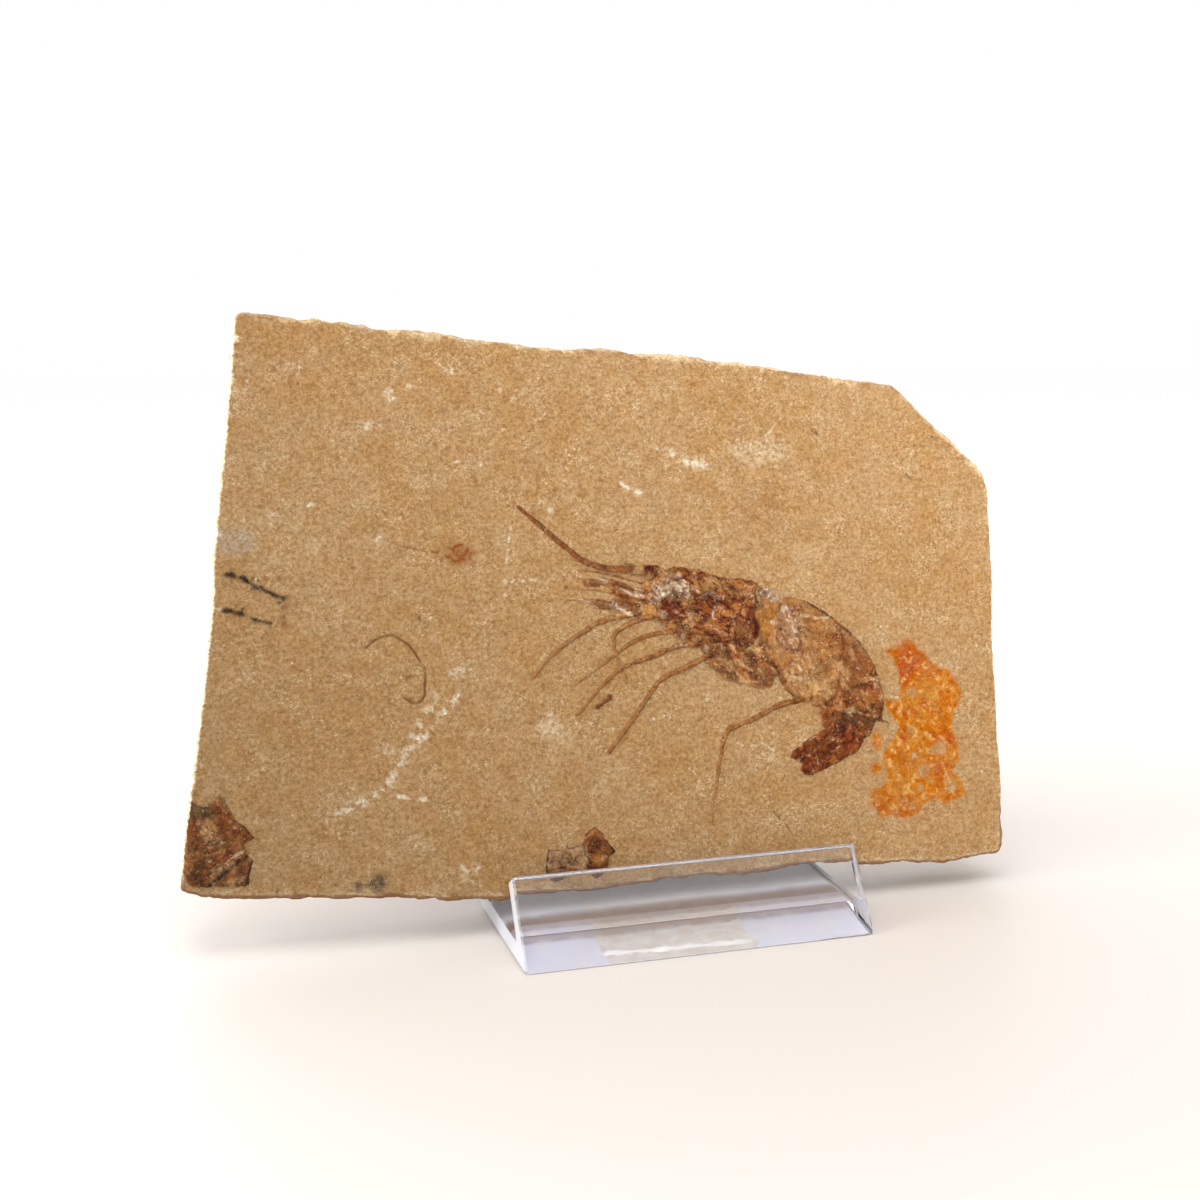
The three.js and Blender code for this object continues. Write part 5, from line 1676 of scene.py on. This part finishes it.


# the remains of the plate's pale protective film, on its underside, carrying painted shade, a painted
# reflection and painted light as well
HAZE_TOP = 0.06
HAZE_BOTTOM = 0.02
HAZE_MARGIN = 0.5
HAZE_SPACING = 0.3
HAZE_START = 0.5  # from the strip's sharp front edge
HAZE_END = 24.4
HAZE_MIDDLE = (12.0, 33.2)  # where the film is grey, from the left end
HAZE_COLOURS = [
    (HAZE_WHITE, 0.9, 0.3, 0.4, [(1, 17), (12, 17.4), (13, 24), (1, 24)],
     [(31, 17), (33.6, 17), (32.5, 20)]),
    # a painted glint near the front of the film, brighter than white
    (HAZE_PAINTED_GLINT, 1.0, 0.2, 0.7, [(12, 3.2), (22, 2.6), (33, 2.2), (33, 3.2), (22, 3.7), (12, 4.4)]),
    (HAZE_WHITE, 0.6, 0.3, 0.4, [(30, 9), (33.5, 10.4), (33, 7.6)]),
]
HAZE_LINES = [
    (HAZE_WHITE, 0.7, 0.7, -0.2, [(22, 6.0), (26, 7.0), (29.5, 7.2), (32, 5.8), (34.5, 3.6)]),
    (HAZE_WHITE, 0.4, 0.8, -0.2, [(26.2, 8), (26.6, 6), (26.8, 4)]),
]


def haze_sheet():
    """A thin closed sheet with a torn rear edge: its places (across, back), twice, and its faces."""
    columns = np.arange(HAZE_MARGIN, STAND_WIDTH - HAZE_MARGIN + 0.01, HAZE_SPACING)
    rows = np.linspace(HAZE_START, HAZE_END, round((HAZE_END - HAZE_START) / HAZE_SPACING))
    x, y = np.meshgrid(columns, rows, indexing="ij")
    wide, deep = x.shape
    sheet = np.column_stack([x.ravel(), y.ravel()])
    count = len(sheet)
    torn = 0.5 * fractal(np.column_stack([sheet, np.zeros(count)]), 2.2, 603)
    sheet[:, 1] += torn * step(0.5, 1.0, (sheet[:, 1] - HAZE_START) / (HAZE_END - HAZE_START))
    top = []
    for i in range(wide - 1):
        for j in range(deep - 1):
            a = i * deep + j
            top.append((a, a + deep, a + deep + 1, a + 1))
    rim = [i * deep for i in range(wide)]
    rim += [(wide - 1) * deep + j for j in range(1, deep)]
    rim += [i * deep + deep - 1 for i in range(wide - 2, -1, -1)]
    rim += list(range(deep - 2, 0, -1))
    faces = top + [tuple(index + count for index in reversed(face)) for face in top]
    faces += [(b, a, a + count, b + count) for a, b in zip(rim, rim[1:] + rim[:1])]
    return np.vstack([sheet, sheet]), faces


def paint_haze(places):
    """Lavender at both ends and grey between, with a brown band under the lip's fold that is painted shade
    and a painted reflection of the slab.
    """
    coat = Coat(places)
    across, back = places[:, 0], places[:, 1]
    wander = 1.1 * fractal(places, 3, 601) + 0.5 * fractal(places, 0.8, 602)
    middle = step(-0.2, 0.2, across - HAZE_MIDDLE[0] + wander)
    middle *= step(-0.2, 0.2, HAZE_MIDDLE[1] - across + wander)
    rows = back + 0.15 * wander
    # lavender brighter than white in blue: partly the film's tint, partly painted light
    coat.lay(np.ones(len(places)), HAZE_LAVENDER)
    coat.tint(middle, HAZE_GREY)
    coat.tint(step(13.0, 17.0, rows), HAZE_WHITE)
    # painted shade and a painted reflection of the slab: a brown band, with a darker strip from about 11.5
    # mm back
    coat.tint(step(8.8, 10.0, rows) * step(16.0, 13.0, rows) * 0.6, HAZE_PAINTED_SHADE)
    coat.tint(step(11.2, 11.8, back) * step(16.0, 12.5, rows), HAZE_PAINTED_SHADE)
    coat.patches(HAZE_COLOURS, 610)
    coat.lines(HAZE_LINES, 620)
    coat.cover = 1 - 0.9 * step(9.0, 11.0, rows) * step(18, 15, rows)  # here: how mottled the film is
    return coat


def haze():
    flat, faces = haze_sheet()
    coat = paint_haze(np.column_stack([flat, np.zeros(len(flat))]))
    height = np.repeat([HAZE_TOP, HAZE_BOTTOM], len(flat) // 2)
    points = np.column_stack([STAND_LEFT + flat[:, 0], STAND_FRONT + flat[:, 1], height])
    mesh_piece("plate_haze", points, faces, haze_finish(), 50, coat)


# ---------------------------------------------------------------- table, light and camera

CAMERA_PLACE = (-69.39, -227.21, 84.35)
CAMERA_PITCH = 9.5
CAMERA_YAW = 16.704
LENS = 48
SENSOR = 36
TABLE_SIZE = 6000
LIGHTS = [
    # name, place, aim, width, height, strength in watts
    ("window_left", (-560, -40, 260), (0, 0, 30), 400, 400, 2.5),
    ("window_back", (-60, 500, 280), (0, 0, 20), 900, 300, 2.0),
    ("window_front", (-150, -560, 140), (0, -20, 30), 500, 300, 1.2),
    ("lamp_above", (-40, -160, 620), (0, -20, 20), 500, 400, 2.0),
]
SKY = 1.0
TABLE_GAP = 0.06  # of air between the table and the stand


def table():
    mesh = bpy.data.meshes.new("table")
    half = TABLE_SIZE / 2 * MM
    low = -TABLE_GAP * MM
    corners = [(-half, -half, low), (half, -half, low), (half, half, low), (-half, half, low)]
    mesh.from_pydata(corners, [], [(0, 1, 2, 3)])
    piece = bpy.data.objects.new("table", mesh)
    bpy.context.scene.collection.objects.link(piece)
    mesh.materials.append(table_finish())


def lights():
    for name, place, aim, width, height, watts in LIGHTS:
        data = bpy.data.lights.new(name, "AREA")
        data.shape = "RECTANGLE"
        data.size = width * MM
        data.size_y = height * MM
        data.energy = watts
        lamp = bpy.data.objects.new(name, data)
        lamp.location = Vector(place) * MM
        lamp.rotation_euler = (Vector(aim) - Vector(place)).to_track_quat("-Z", "Y").to_euler()
        bpy.context.scene.collection.objects.link(lamp)
    world = bpy.data.worlds.new("studio")
    world.use_nodes = True
    background = world.node_tree.nodes["Background"]
    background.inputs["Color"].default_value = (1.0, 1.0, 1.0, 1.0)
    background.inputs["Strength"].default_value = SKY
    bpy.context.scene.world = world


def camera():
    data = bpy.data.cameras.new("camera")
    data.lens = LENS
    data.sensor_width = SENSOR
    data.clip_start = 0.005
    view = bpy.data.objects.new("camera", data)
    view.location = Vector(CAMERA_PLACE) * MM
    view.rotation_euler = (math.radians(90 - CAMERA_PITCH), 0, math.radians(-CAMERA_YAW))
    bpy.context.scene.collection.objects.link(view)
    bpy.context.scene.camera = view


bpy.context.scene.view_settings.view_transform = "Standard"
camera()
lights()
table()
slab()
film = stone_finish("fossil_film", 0.5, True)
shrimp(film)
scrap("fossil_scrap_corner", "fragment_corner", film, CORNER_SCRAP, CORNER_COLOURS, CORNER_LINES, 400)
scrap("fossil_scrap_lower", "fragment_lower", film, LOWER_SCRAP, LOWER_COLOURS, LOWER_LINES, 500)
stand()
haze()
